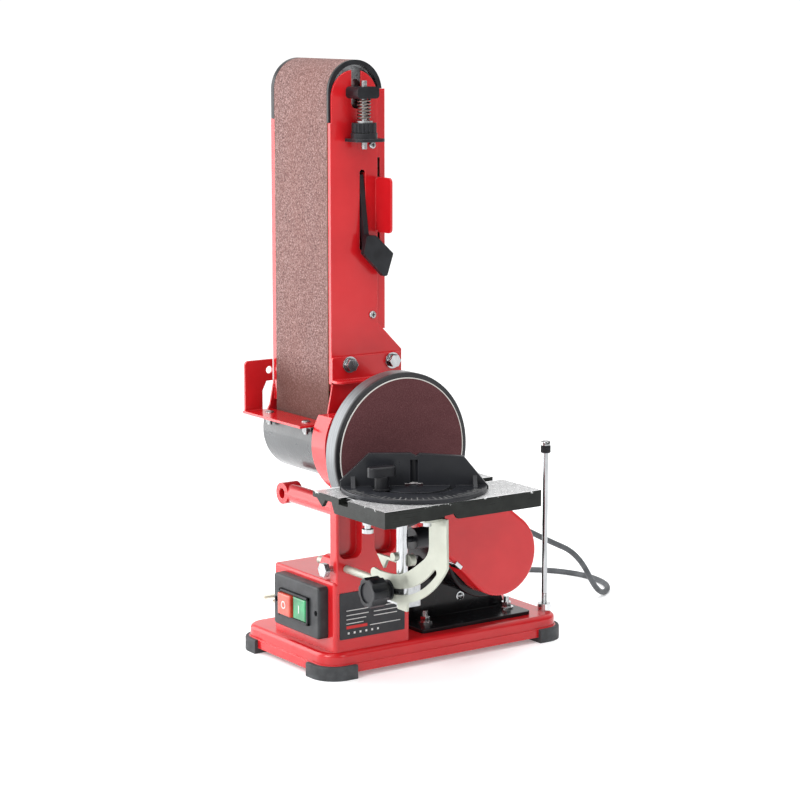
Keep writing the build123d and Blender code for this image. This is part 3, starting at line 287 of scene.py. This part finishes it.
def grit(name, deep, plain, pale, sparkle, scale):
    """Abrasive cloth: packed grains with odd pale and dark ones; the pale ones, mixed towards the sparkle
    colour, are partly pale grit and partly painted glint.
    """
    f = Finish(name, rough=0.85, specular=0.3)
    grains = f.cells(scale)
    shade = f.ramp(f.noise(scale * 0.55, 2.0, 0.75), [(0.28, deep), (0.5, plain), (0.74, pale)])
    odd = f.step(f.cells(scale * 1.1, output="Color"), 0.78, 0.10)
    return f, f.mix(f.maths("MULTIPLY", odd, 0.4), shade, sparkle), grains


def belt_cloth():
    f, colour, grains = grit(
        "abrasive_belt", (0.045, 0.020, 0.019), (0.165, 0.090, 0.083), (0.38, 0.245, 0.23),
        (0.52, 0.38, 0.36), 1000.0,
    )
    worn = f.noise(22.0, 4.0, 0.6, (1, 1, 0.35))
    colour = f.mix(f.spread(worn, 0.0, 0.35), colour, (0.20, 0.090, 0.075))
    height = f.maths("ADD", f.position("Z"), f.maths("MULTIPLY", f.noise(40.0), 0.02))
    above = f.step(height, at(0, 0, 76).z, 0.03)
    colour = f.mix(above, f.mix(0.72, colour, (0.085, 0.030, 0.022)), colour)
    edge = f.step(f.maths("ABSOLUTE", f.facing("Y")), 0.7, 0.1)
    f.colour(f.mix(edge, colour, (0.30, 0.23, 0.17)))
    return f.bump(grains, 0.55, 0.0003)


def disc_paper():
    f, colour, grains = grit(
        "abrasive_disc", (0.052, 0.013, 0.015), (0.078, 0.022, 0.025), (0.110, 0.038, 0.042),
        (0.14, 0.060, 0.064), 1500.0,
    )
    smear = f.noise(14.0, 4.0, 0.6, (1.0, 1.0, 2.2))
    colour = f.mix(f.spread(smear, 0.0, 0.35), colour, (0.125, 0.045, 0.050))
    rim = f.step(f.radius_from(AXIS, "XZ"), 0.0741, 0.0003)
    f.colour(f.mix(rim, colour, (0.62, 0.60, 0.57)))
    return f.bump(grains, 0.4, 0.0003)


def disc_casting():
    """Turned aluminium disc whose front ring is painted black."""
    f = Finish("turned_disc")
    f.round_edges(0.0006)
    rings = f.noise(900.0, 3.0, 0.6, (0.02, 1.0, 0.02))
    bare = f.ramp(rings, [(0.3, (0.10, 0.105, 0.11)), (0.7, (0.24, 0.25, 0.26))])
    front = f.step(f.position("Y"), at(0, 3.6, 0).y, 0.0006)
    f.colour(f.mix(front, (0.008, 0.008, 0.010), bare))
    f.metal(f.maths("MULTIPLY", front, 0.8))
    f.rough(f.spread(rings, 0.26, 0.46))
    return f.bump(rings, 0.12, 0.0002)


def table_casting():
    """Cast table: machined, grooved top; dark painted sides rubbed bright along the upper edges."""
    f = Finish("table_casting", specular=0.2)
    f.round_edges(0.0007)
    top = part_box("sanding_table")[1].z
    height = f.position("Z")
    planed = f.noise(700.0, 3.0, 0.65, (0.04, 1.0, 1.0))
    bare = f.ramp(planed, [(0.25, (0.74, 0.745, 0.75)), (0.75, (0.93, 0.935, 0.94))])
    up = f.step(f.facing("Z"), 0.75, 0.2)
    groove_floor = f.step(height, top - 0.00035, 0.0002)
    face = f.mix(groove_floor, (0.10, 0.105, 0.11), bare)
    chips = f.noise(160.0, 6.0, 0.75)
    near_edge = f.spread(height, 0.0, 0.19, top - 0.0045, top)
    rubbed = f.step(f.maths("ADD", chips, near_edge), 0.765, 0.03)
    paint = f.ramp(f.noise(70.0, 4.0), [(0.3, (0.005, 0.006, 0.005)), (0.7, (0.014, 0.016, 0.014))])
    side = f.mix(rubbed, paint, (0.62, 0.63, 0.62))
    on_top = f.maths("MULTIPLY", up, f.step(height, top - 0.0009, 0.0002))
    f.colour(f.mix(on_top, side, face))
    f.metal(f.maths("MAXIMUM", f.maths("MULTIPLY", on_top, 0.45), f.maths("MULTIPLY", rubbed, 0.8)))
    f.rough(f.spread(planed, 0.24, 0.44))
    return f.bump(f.noise(650.0, 3.0), 0.05, 0.0002)


def zinc_plate():
    f = bright_metal("zinc_plate", (0.34, 0.35, 0.30), (0.46, 0.475, 0.41), 0.42, (1, 1, 1), 60.0, 0.04)
    spangle = f.cells(140.0, output="Color")
    f.set(f.shader, "Metallic", 0.55)
    return f.bump(spangle, 0.05, 0.0002)


def machined_block():
    f = bright_metal("cast_block", (0.28, 0.29, 0.30), (0.52, 0.53, 0.54), 0.3, (1, 1, 1), 260.0, 0.25)
    return f.bump(f.noise(900.0, 2.0), 0.2, 0.0003)


def steel():
    return bright_metal("bright_steel", (0.26, 0.265, 0.27), (0.50, 0.505, 0.51), 0.26, (1, 0.1, 1), 600.0)


def chrome():
    return bright_metal(
        "chrome_plate", (0.30, 0.31, 0.32), (0.58, 0.59, 0.60),
        rough=0.14, stretch=(1, 1, 0.15), scale=500.0, bump=0.03,
    )


def threaded(name, start, end, pitch, dark=(0.26, 0.27, 0.28), light=(0.50, 0.51, 0.52)):
    """Chromed rod whose surface carries a thread between two heights."""
    f = bright_metal(name, dark, light, 0.14, (1, 1, 0.1), 500.0, 0.03)
    phase = f.maths("MULTIPLY", f.position("Z"), 2 * math.pi / pitch)
    wave = f.maths("SINE", phase)
    above = f.step(f.position("Z"), start, 0.0005)
    below = f.maths("SUBTRACT", 1.0, f.step(f.position("Z"), end, 0.0005))
    inside = f.maths("MULTIPLY", above, below)
    return f.bump(f.maths("MULTIPLY", wave, inside), 0.6, 0.0004)


def spring_wire():
    return bright_metal("spring_wire", (0.06, 0.04, 0.035), (0.26, 0.22, 0.20), 0.34, (1, 1, 1), 220.0, 0.1)


def black_plastic():
    return moulded("black_plastic", (0.006, 0.006, 0.008), (0.014, 0.015, 0.018), 0.36)


def switch_plastic():
    return moulded("switch_plastic", (0.018, 0.019, 0.021), (0.032, 0.034, 0.037), 0.4, 0.3)


def rubber():
    return moulded("foot_rubber", (0.030, 0.032, 0.034), (0.062, 0.066, 0.070), 0.6, 0.5, 900.0)


def cord_rubber():
    return moulded("cord_sheath", (0.055, 0.059, 0.064), (0.095, 0.101, 0.108), 0.5, 0.25, 1200.0)


def lens(name, dark, light):
    f = moulded(name, dark, light, 0.22, 0.05)
    f.set(f.shader, "Coat Weight", 0.6)
    return f


def printed_foil():
    return moulded("printed_foil", (0.016, 0.017, 0.020), (0.028, 0.030, 0.034), 0.38, 0.08)


def pale_ink():
    return moulded("pale_ink", (0.55, 0.55, 0.54), (0.72, 0.72, 0.71), 0.5, 0.1)


def red_ink():
    return moulded("red_ink", (0.45, 0.02, 0.02), (0.60, 0.03, 0.03), 0.5, 0.1)


# Near-black painted shade, put on screw heads as thin pieces where their recesses and slots would be.
def painted_recess_shade():
    return moulded("recess_painted_shade", (0.004, 0.004, 0.004), (0.008, 0.008, 0.009), 0.8, 0.1)


def plug_skin():
    """Cord-coloured moulding with bright pins."""
    f = Finish("plug_moulding", specular=0.45)
    f.round_edges(0.0006)
    pin_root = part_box("mains_plug")[0].x + 0.0189
    pins = f.maths("SUBTRACT", 1.0, f.step(f.position("X"), pin_root, 0.0002))
    skin = f.ramp(f.noise(60.0, 4.0), [(0.35, (0.055, 0.059, 0.064)), (0.65, (0.095, 0.101, 0.108))])
    f.colour(f.mix(pins, skin, (0.78, 0.74, 0.62)))
    f.metal(f.maths("MULTIPLY", pins, 1.0))
    f.rough(f.spread(f.noise(90.0, 4.0), 0.34, 0.52))
    return f.bump(f.noise(1200.0, 2.0), 0.2, 0.0002)


def need(builder):
    if builder not in MATERIALS:
        MATERIALS[builder] = builder().material
    return MATERIALS[builder]


# ---- finishes of the CAD nodes -------------------------------------------------------------------
def red_button():
    return lens("red_lens", (0.42, 0.035, 0.018), (0.66, 0.085, 0.045))


def green_button():
    return lens("green_lens", (0.010, 0.16, 0.060), (0.020, 0.30, 0.110))


def rod_chrome():
    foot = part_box("stop_rod")[0].z
    return threaded("rod_chrome", foot, foot + 0.022, 0.0010)


def stud_chrome():
    low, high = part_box("base_nuts")
    return threaded("stud_chrome", low.z + 0.0115, high.z, 0.0009, (0.48, 0.49, 0.50), (0.80, 0.81, 0.82))


FINISHES = {
    red_enamel: (
        "base_tray", "body_casting", "drive_cover", "arm_frame", "rear_cover", "pivot_bracket", "work_stop",
    ),
    dark_drum_paint: ("drum_cover",),
    black_enamel: ("motor_housing", "motor_front_bell", "motor_bracket", "outer_bearing"),
    satin_black: ("mitre_head", "tracking_bracket"),
    black_plastic: (
        "tracking_knob", "tension_lever", "idler_carriage", "idler_guards", "tilt_knob", "mitre_knob",
        "table_knob", "switch_block", "rod_cap",
    ),
    switch_plastic: ("switch_bezel",),
    red_button: ("stop_button",),
    green_button: ("start_button",),
    printed_foil: ("rating_plate",),
    rubber: ("corner_feet", "cog_belt"),
    belt_cloth: ("sanding_belt",),
    disc_paper: ("sanding_disc",),
    disc_casting: ("disc_plate",),
    table_casting: ("sanding_table",),
    zinc_plate: ("tilt_quadrant", "pointer", "support_bar"),
    machined_block: ("clamp_block", "drive_drum", "idler_roller"),
    steel: (
        "shaft_bearings", "motor_rotor", "drive_pulley", "drive_shaft", "driven_pulley", "platen",
        "arm_screws", "idler_axle", "tracking_screw", "mitre_bar", "bar_clamp",
    ),
    chrome: ("bracket_bolts", "table_fasteners", "table_post"),
    rod_chrome: ("stop_rod",),
    stud_chrome: ("base_nuts",),
    spring_wire: ("tension_spring",),
    cord_rubber: ("cord_gland", "mains_cord", "cord_coil"),
    plug_skin: ("mains_plug",),
}

for finish, names in FINISHES.items():
    for name in names:
        mesh = NODES[name].data
        mesh.materials.clear()
        mesh.materials.append(need(finish))

for name, node in NODES.items():
    if not node.data.materials:
        raise SystemExit(f"{name} has no finish")


# ---- mesh building -------------------------------------------------------------------------------
def frame_of(axis):
    """Two directions across an axis."""
    side = Z if abs(axis.z) < 0.9 else X
    u = side.cross(axis).normalized()
    return u, axis.cross(u)


def add_piece(name, bm, finish, body, bevel=0.0, smooth=True):
    mesh = bpy.data.meshes.new(name)
    bmesh.ops.recalc_face_normals(bm, faces=bm.faces)
    for face in bm.faces:
        face.smooth = smooth
    bm.to_mesh(mesh)
    bm.free()
    mesh.materials.append(need(finish))
    piece = bpy.data.objects.new(name, mesh)
    bpy.context.scene.collection.objects.link(piece)
    if bevel:
        cut = piece.modifiers.new("Bevel", "BEVEL")
        cut.width = bevel
        cut.segments = 3
        cut.limit_method = "ANGLE"
        cut.angle_limit = math.radians(35)
    if smooth:
        mesh.set_sharp_from_angle(angle=math.radians(38))
    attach(piece, body)
    return piece


def ring_of(bm, centre, axis, radius, count):
    u, v = frame_of(axis)
    angles = [2 * math.pi * n / count for n in range(count)]
    return [bm.verts.new(centre + radius * (math.cos(a) * u + math.sin(a) * v)) for a in angles]


def turned(bm, origin, axis, profile, count=48):
    """Closed turned solid; profile holds (along, radius) in millimetres from one end to the other."""
    rings = []
    for along, radius in profile:
        rings.append(ring_of(bm, origin + axis * along / 1000, axis, radius / 1000, count))
    for first, second in zip(rings, rings[1:]):
        for n in range(count):
            bm.faces.new((first[n], first[(n + 1) % count], second[(n + 1) % count], second[n]))
    bm.faces.new(rings[0][::-1])
    bm.faces.new(rings[-1])
    return bm


def prism(bm, corners, depth):
    """Closed prism from a planar outline of points, thick along a vector."""
    first = [bm.verts.new(p) for p in corners]
    second = [bm.verts.new(p + depth) for p in corners]
    bm.faces.new(first)
    bm.faces.new(second[::-1])
    for n in range(len(first)):
        m = (n + 1) % len(first)
        bm.faces.new((first[n], second[n], second[m], first[m]))
    return bm


def bar(bm, low, high):
    """Box between two corner points."""
    a, b = Vector(map(min, low, high)), Vector(map(max, low, high))
    corners = [Vector((x, y, a.z)) for x, y in ((a.x, a.y), (b.x, a.y), (b.x, b.y), (a.x, b.y))]
    return prism(bm, corners, Vector((0, 0, b.z - a.z)))


def annulus(bm, centre, axis, inner, outer, depth, start=0.0, end=2 * math.pi, count=64):
    """Flat ring or arc with a small thickness."""
    u, v = frame_of(axis)
    closed = end - start > 2 * math.pi - 0.001
    steps = count if closed else count + 1
    rows = []
    for n in range(steps):
        a = start + (end - start) * n / count
        ray = math.cos(a) * u + math.sin(a) * v
        near, far = centre + ray * inner, centre + ray * outer
        rows.append([bm.verts.new(spot) for spot in (near, far, far + axis * depth, near + axis * depth)])
    pairs = list(zip(rows, rows[1:])) + ([(rows[-1], rows[0])] if closed else [])
    for a, b in pairs:
        for n in range(4):
            m = (n + 1) % 4
            bm.faces.new((a[n], b[n], b[m], a[m]))
    if not closed:
        bm.faces.new(rows[0])
        bm.faces.new(rows[-1][::-1])
    return bm


# ---- switch --------------------------------------------------------------------------------------
def bezel_screws():
    """Cross-head screws sunk in the bezel's two side holes, with their cross recesses drawn as thin dark bars
    of painted shade.
    """
    for label, y in (("near", 78.5), ("far", 155.5)):
        centre = Vector((at(-49.0, 0, 0).x, at(0, y, 0).y, at(0, 0, -177.5).z))
        head = bmesh.new()
        turned(head, centre, -X, [(0, 2.8), (1.4, 2.8), (2.1, 2.2), (2.4, 1.2)], 32)
        add_piece(f"bezel_screw_{label}", head, steel, "machine_base")
        # The cross recess is two thin near-black bars on the head: painted shade in place of the hollow.
        cross = bmesh.new()
        bar(cross, centre + Vector((-0.0027, -0.0017, -0.0003)), centre + Vector((-0.0023, 0.0017, 0.0003)))
        bar(cross, centre + Vector((-0.0027, -0.0003, -0.0017)), centre + Vector((-0.0023, 0.0003, 0.0017)))
        add_piece(
            f"bezel_screw_recess_shade_{label}", cross, painted_recess_shade, "machine_base", smooth=False,
        )


def button_marks():
    """Raised ring on the stop button and bar on the start button."""
    low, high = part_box("stop_button")
    centre = Vector((low.x - 0.0002, (low.y + high.y) / 2, (low.z + high.z) / 2))
    mark = bmesh.new()
    annulus(mark, centre + 0.0004 * X, -X, 0.0030, 0.0042, 0.0005)
    add_piece("stop_mark", mark, pale_ink, "stop_key")
    low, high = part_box("start_button")
    centre = Vector((low.x + 0.0002, (low.y + high.y) / 2, (low.z + high.z) / 2))
    mark = bmesh.new()
    bar(mark, centre + Vector((-0.0005, -0.0007, -0.0042)), centre + Vector((0, 0.0007, 0.0042)))
    add_piece("start_mark", mark, pale_ink, "start_key", bevel=0.0001)


def switch_insert():
    """Raised frame round the two buttons."""
    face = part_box("switch_bezel")[0].x
    low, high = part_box("stop_button"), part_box("start_button")
    y0, y1 = high[0].y - 0.0032, low[1].y + 0.0032
    z0, z1 = low[0].z - 0.0032, low[1].z + 0.0032
    frame_piece = bmesh.new()
    front, back = face - 0.0028, face + 0.0016
    bar(frame_piece, Vector((front, y0, z0)), Vector((back, y1, z0 + 0.0026)))
    bar(frame_piece, Vector((front, y0, z1 - 0.0026)), Vector((back, y1, z1)))
    bar(frame_piece, Vector((front, y0, z0)), Vector((back, y0 + 0.0026, z1)))
    bar(frame_piece, Vector((front, y1 - 0.0026, z0)), Vector((back, y1, z1)))
    add_piece("switch_insert", frame_piece, black_plastic, "machine_base", bevel=0.0004)


# ---- rating plate --------------------------------------------------------------------------------
def plate_print():
    """Blank generic print: pale rules and one red bar."""
    low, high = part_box("rating_plate")
    front, back = low.y - 0.00012, low.y + 0.0001
    rule, side, red_height = 0.0008, 0.0022, 0.0032
    pale, red = bmesh.new(), bmesh.new()
    rows = [
        (0.10, 0.86, 0.60), (0.10, 0.44, 0.50), (0.52, 0.92, 0.50), (0.10, 0.40, 0.41), (0.52, 0.88, 0.41),
        (0.10, 0.36, 0.32), (0.46, 0.93, 0.22),
    ]
    span = high - low
    for a, b, h in rows:
        z = low.z + h * span.z
        bar(pale, Vector((low.x + a * span.x, front, z)), Vector((low.x + b * span.x, back, z + rule)))
    for n in range(6):
        x = low.x + (0.12 + 0.09 * n) * span.x
        z = low.z + 0.1 * span.z
        bar(pale, Vector((x, front, z)), Vector((x + side, back, z + side)))
    z = low.z + 0.215 * span.z
    bar(red, Vector((low.x + 0.10 * span.x, front, z)), Vector((low.x + 0.42 * span.x, back, z + red_height)))
    add_piece("plate_rules", pale, pale_ink, "machine_base", smooth=False)
    add_piece("plate_bar", red, red_ink, "machine_base", smooth=False)


# ---- mitre scale ---------------------------------------------------------------------------------
def mitre_scale():
    """Engraved degree lines along the protractor's rim."""
    pivot = at(-26, -57, 0)
    top = at(0, 0, -26.4 + 4.0).z
    turn = math.radians(-32)
    marks = bmesh.new()
    for degree in range(-70, 71, 5):
        angle = turn - math.pi / 2 + math.radians(degree)
        ray = Vector((math.cos(angle), math.sin(angle), 0))
        side = Vector((-ray.y, ray.x, 0))
        inner = 0.0610 if degree % 15 else 0.0580
        base = Vector((pivot.x, pivot.y, top - 0.0001))
        a, b = base + ray * inner, base + ray * 0.0685
        half = side * 0.00028
        prism(marks, [a - half, b - half, b + half, a + half], Z * 0.00022)
    annulus(marks, Vector((pivot.x, pivot.y, top - 0.0001)), Z, 0.0690, 0.0693, 0.0002, *mitre_arc(turn))
    add_piece("mitre_scale", marks, scale_ink, "mitre_fence", smooth=False)


def pin_cap():
    """Black cap over the protractor's pin."""
    cap = bmesh.new()
    turned(cap, at(-26, -57, -22.6), Z, [(0, 4.6), (0.7, 4.5), (1.2, 3.6), (1.4, 1.5)], 32)
    add_piece("pin_cap", cap, satin_black, "mitre_fence")


def mitre_arc(turn):
    """Start and end angles of the protractor's rim about +Z, in the annulus frame."""
    u, v = frame_of(Z)
    middle_angle = turn - math.pi / 2
    ray = Vector((math.cos(middle_angle), math.sin(middle_angle), 0))
    centre = math.atan2(ray.dot(v), ray.dot(u))
    return centre - math.radians(76), centre + math.radians(76)


def scale_ink():
    return moulded("scale_ink", (0.20, 0.20, 0.20), (0.42, 0.42, 0.41), 0.5, 0.1)


# ---- fasteners -----------------------------------------------------------------------------------
def cross_recess_shades():
    """Painted shade for the cross slots in the arm's round-headed side screws: thin near-black bars on the
    heads.
    """
    cross = bmesh.new()
    for z in (303.0, 128.5):
        for y in (at(0, 80.1, 0).y, at(0, 198.4, 0).y):
            centre = Vector((at(19.0, 0, 0).x, y, at(0, 0, z).z))
            for w, h in ((0.0022, 0.0005), (0.0005, 0.0022)):
                bar(cross, centre + Vector((-w, -0.00012, -h)), centre + Vector((w, 0.00012, h)))
    add_piece("arm_screw_recess_shades", cross, painted_recess_shade, "belt_arm", smooth=False)


def cover_clip():
    """Spring clip on the drive cover's lower edge."""
    clip = bmesh.new()
    spot = at(88.7, 26.0, -136.3)
    along = Vector((0.745, 0, -0.667))
    out = Vector((-0.667, 0, -0.745))
    corners = [spot - along * 0.005 - out * 0.003, spot + along * 0.005 - out * 0.003,
               spot + along * 0.005 + out * 0.0012, spot - along * 0.005 + out * 0.0012]
    prism(clip, [c - Y * 0.0008 for c in corners], Y * 0.0010)
    lip = [spot - along * 0.005 + out * 0.0002, spot + along * 0.005 + out * 0.0002,
           spot + along * 0.005 + out * 0.0012, spot - along * 0.005 + out * 0.0012]
    prism(clip, lip, Y * 0.016)
    add_piece("cover_clip", clip, chrome, "machine_base", bevel=0.0003)


def earth_screw():
    """Small screw on the motor's front bell, with its washer."""
    centre = at(154.0, 112.0, -195.5)
    screw = bmesh.new()
    turned(screw, centre, -Y, [(0, 5.2), (0.8, 5.2), (0.9, 3.6), (2.2, 3.4), (2.9, 2.2), (3.1, 0.9)], 32)
    add_piece("earth_screw", screw, chrome, "machine_base")
    # The slot is a thin near-black bar on the head: painted shade in place of the hollow.
    slot_shade = bmesh.new()
    bar(slot_shade, centre + Vector((-0.0026, -0.0033, -0.0004)), centre + Vector((0.0026, -0.0028, 0.0004)))
    add_piece("earth_screw_slot_shade", slot_shade, painted_recess_shade, "machine_base", smooth=False)


def rod_cap_top():
    """Polished end of the stop rod showing through its cap."""
    low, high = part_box("rod_cap")
    centre = Vector(((low.x + high.x) / 2, (low.y + high.y) / 2, high.z))
    top = bmesh.new()
    turned(top, centre - Z * 0.0045, Z, [(0, 5.06), (3.6, 5.06), (4.4, 4.5), (4.8, 3.4), (5.0, 1.2)], 48)
    add_piece("rod_cap_top", top, chrome, "machine_base")
    ribs = bmesh.new()
    for n in range(20):
        angle = 2 * math.pi * n / 20
        ray = Vector((math.cos(angle), math.sin(angle), 0))
        spot = Vector((centre.x, centre.y, low.z)) + ray * 0.00495
        turned(ribs, spot + Z * 0.0004, Z, [(0, 0.35), (0.4, 0.5), (7.2, 0.5), (7.6, 0.35)], 8)
    add_piece("rod_cap_ribs", ribs, black_plastic, "machine_base")


def gland_ribs():
    """Flex ribs of the strain relief."""
    low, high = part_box("cord_gland")
    centre_y, centre_z = (low.y + high.y) / 2, at(0, 0, -132).z
    ribs = bmesh.new()
    start = at(202.5, 0, 0).x
    length = high.x - start
    for n in range(5):
        x = start + length * (n + 0.5) / 5
        radius = 6.6 - 2.4 * (n + 0.5) / 5
        profile = [(0, radius), (0.3, radius + 0.5), (0.9, radius + 0.5), (1.2, radius)]
        turned(ribs, Vector((x - 0.0006, centre_y, centre_z)), X, profile, 32)
    add_piece("gland_ribs", ribs, cord_rubber, "machine_base")


def rest_rivets():
    """Round heads on the work rest's shelf."""
    heads = bmesh.new()
    for y in (103.0, 174.0):
        turned(heads, at(-49.8, y, 20.0), Z, [(0, 4.6), (1.0, 4.4), (1.7, 3.2), (2.0, 1.4)], 32)
    add_piece("rest_rivets", heads, steel, "belt_arm")


for build in (
    bezel_screws, button_marks, switch_insert, plate_print, mitre_scale, pin_cap, cross_recess_shades,
    cover_clip, earth_screw, rod_cap_top, gland_ribs, rest_rivets,
):
    build()


# ---- mains cord ----------------------------------------------------------------------------------
CORD_RADIUS = 0.00325
AXIS_HEIGHT = 246.0
FLOOR = 3.3 - AXIS_HEIGHT
COIL_X, COIL_Y = 150.0, 361.0
INNER_TURN, OUTER_TURN, LEVEL = 32.4, 39.25, 6.62
ROUTE = [
    (217.0, 140.0, -132.0), (249.0, 140.0, -132.0), (300.0, 143.0, -158.5), (352.0, 151.0, -182.5),
    (396.0, 166.0, FLOOR), (440.0, 196.0, FLOOR), (452.0, 256.0, FLOOR), (424.0, 312.0, FLOOR),
    (364.0, 344.0, FLOOR), (296.0, 349.0, FLOOR), (232.0, 328.0, FLOOR), (193.0, 321.75, FLOOR),
]


def coil_points():
    """Six turns, two across and three high, each step to the next place at its own part of the turn."""
    places = [
        (OUTER_TURN, 0), (INNER_TURN, 0), (INNER_TURN, 1),
        (INNER_TURN, 2), (OUTER_TURN, 2), (OUTER_TURN, 1),
    ]
    per_turn, window = 24, 2
    points = []
    total = per_turn * len(places)
    for n in range(total + 1):
        turn_index = min(n // per_turn, len(places) - 1)
        within = n - turn_index * per_turn
        radius, level = places[turn_index]
        if turn_index + 1 < len(places):
            start = per_turn - window * (turn_index + 1)
            share = min(max((within - start) / window, 0.0), 1.0)
            next_radius, next_level = places[turn_index + 1]
            radius += (next_radius - radius) * share
            level += (next_level - level) * share
        angle = -math.pi / 2 - 2 * math.pi * n / per_turn
        x, y = COIL_X + radius * math.cos(angle), COIL_Y + radius * math.sin(angle)
        points.append((x, y, FLOOR + LEVEL * level))
    return points


def mains_cord():
    tail = [(132.0, 321.75, FLOOR + 8.2), (122.0, 321.75, FLOOR + 10.2)]
    points = [at(*p) for p in ROUTE + coil_points() + tail]
    curve = bpy.data.curves.new("mains_cord_line", "CURVE")
    curve.dimensions = "3D"
    curve.bevel_depth = CORD_RADIUS
    curve.bevel_resolution = 6
    curve.resolution_u = 8
    curve.use_fill_caps = True
    spline = curve.splines.new("NURBS")
    spline.points.add(len(points) - 1)
    for point, spot in zip(spline.points, points):
        point.co = (*spot, 1.0)
    spline.order_u = 3
    spline.use_endpoint_u = True
    cord = bpy.data.objects.new("mains_flex", curve)
    bpy.context.scene.collection.objects.link(cord)
    curve.materials.append(need(cord_rubber))
    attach(cord, "machine_base")
    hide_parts("mains_cord", "cord_coil")


mains_cord()


# ---- floor, light and camera ---------------------------------------------------------------------
def studio_floor():
    bm = bmesh.new()
    size = 14.0
    corners = [Vector((x * size, y * size, 0)) for x, y in ((-1, -1), (1, -1), (1, 1), (-1, 1))]
    bm.faces.new([bm.verts.new(c) for c in corners])
    mesh = bpy.data.meshes.new("studio_floor")
    bm.to_mesh(mesh)
    bm.free()
    f = Finish("pale_floor", rough=0.5, specular=0.3)
    f.colour(f.ramp(f.noise(0.6, 2.0), [(0.3, (0.90, 0.905, 0.915)), (0.7, (0.92, 0.925, 0.93))]))
    f.set(f.shader, "Emission Color", (0.97, 0.99, 1.0, 1.0))
    f.set(f.shader, "Emission Strength", 0.22)
    mesh.materials.append(f.material)
    floor = bpy.data.objects.new("studio_floor", mesh)
    bpy.context.scene.collection.objects.link(floor)


def area_light(name, spot, target, size, power):
    data = bpy.data.lights.new(name, "AREA")
    data.shape = "RECTANGLE"
    data.size, data.size_y = size
    data.energy = power
    light = bpy.data.objects.new(name, data)
    light.location = spot
    light.rotation_mode = "QUATERNION"
    light.rotation_quaternion = (target - spot).to_track_quat("-Z", "Y")
    bpy.context.scene.collection.objects.link(light)


def studio_light():
    """White room, bright behind and overhead, dim behind the viewer, with a panel at the far left."""
    world = bpy.data.worlds.new("studio")
    bpy.context.scene.world = world
    world.use_nodes = True
    tree = world.node_tree
    background = tree.nodes["Background"]
    coords = tree.nodes.new("ShaderNodeTexCoord")
    dot = tree.nodes.new("ShaderNodeVectorMath")
    dot.operation = "DOT_PRODUCT"
    dot.inputs[1].default_value = Vector((-0.40, 0.72, 0.57)).normalized()
    tree.links.new(coords.outputs["Generated"], dot.inputs[0])
    level = tree.nodes.new("ShaderNodeMapRange")
    for socket, value in (("From Min", -0.70), ("From Max", 0.12), ("To Min", 0.10), ("To Max", 1.06)):
        level.inputs[socket].default_value = value
    tree.links.new(dot.outputs["Value"], level.inputs["Value"])
    tree.links.new(level.outputs["Result"], background.inputs["Strength"])
    background.inputs["Color"].default_value = (1.0, 1.0, 1.0, 1.0)
    centre = at(60, 120, 0)
    area_light("far_left_panel", at(-560, 860, 230), at(-40, 120, -20), (0.75, 0.95), 7.0)
    area_light("key_left", at(-2100, -500, 1300), centre, (1.3, 1.3), 34)
    area_light("top_soft", at(150, -260, 2300), centre, (2.0, 2.0), 26)
    area_light("front_soft", at(900, -2700, 1500), centre, (1.0, 1.0), 14)


def camera():
    data = bpy.data.cameras.new("camera")
    data.lens = 107.0
    data.sensor_width = 36.0
    data.shift_x = 0.0017
    data.shift_y = 0.0045
    data.clip_end = 200.0
    cam = bpy.data.objects.new("camera", data)
    right = Vector((0.8228, -0.5683, 0.0))
    up = Vector((0.0956, 0.1384, 0.9858))
    back = Vector((-0.5602, -0.8111, 0.1681))
    rotation = Matrix((right, up, back)).transposed().to_quaternion()
    cam.rotation_mode = "QUATERNION"
    cam.rotation_quaternion = rotation
    cam.location = at(-1342.2, -1936.1, 450.6)
    bpy.context.scene.collection.objects.link(cam)
    bpy.context.scene.camera = cam


studio_floor()
studio_light()
camera()
bpy.context.scene.view_settings.view_transform = "Standard"
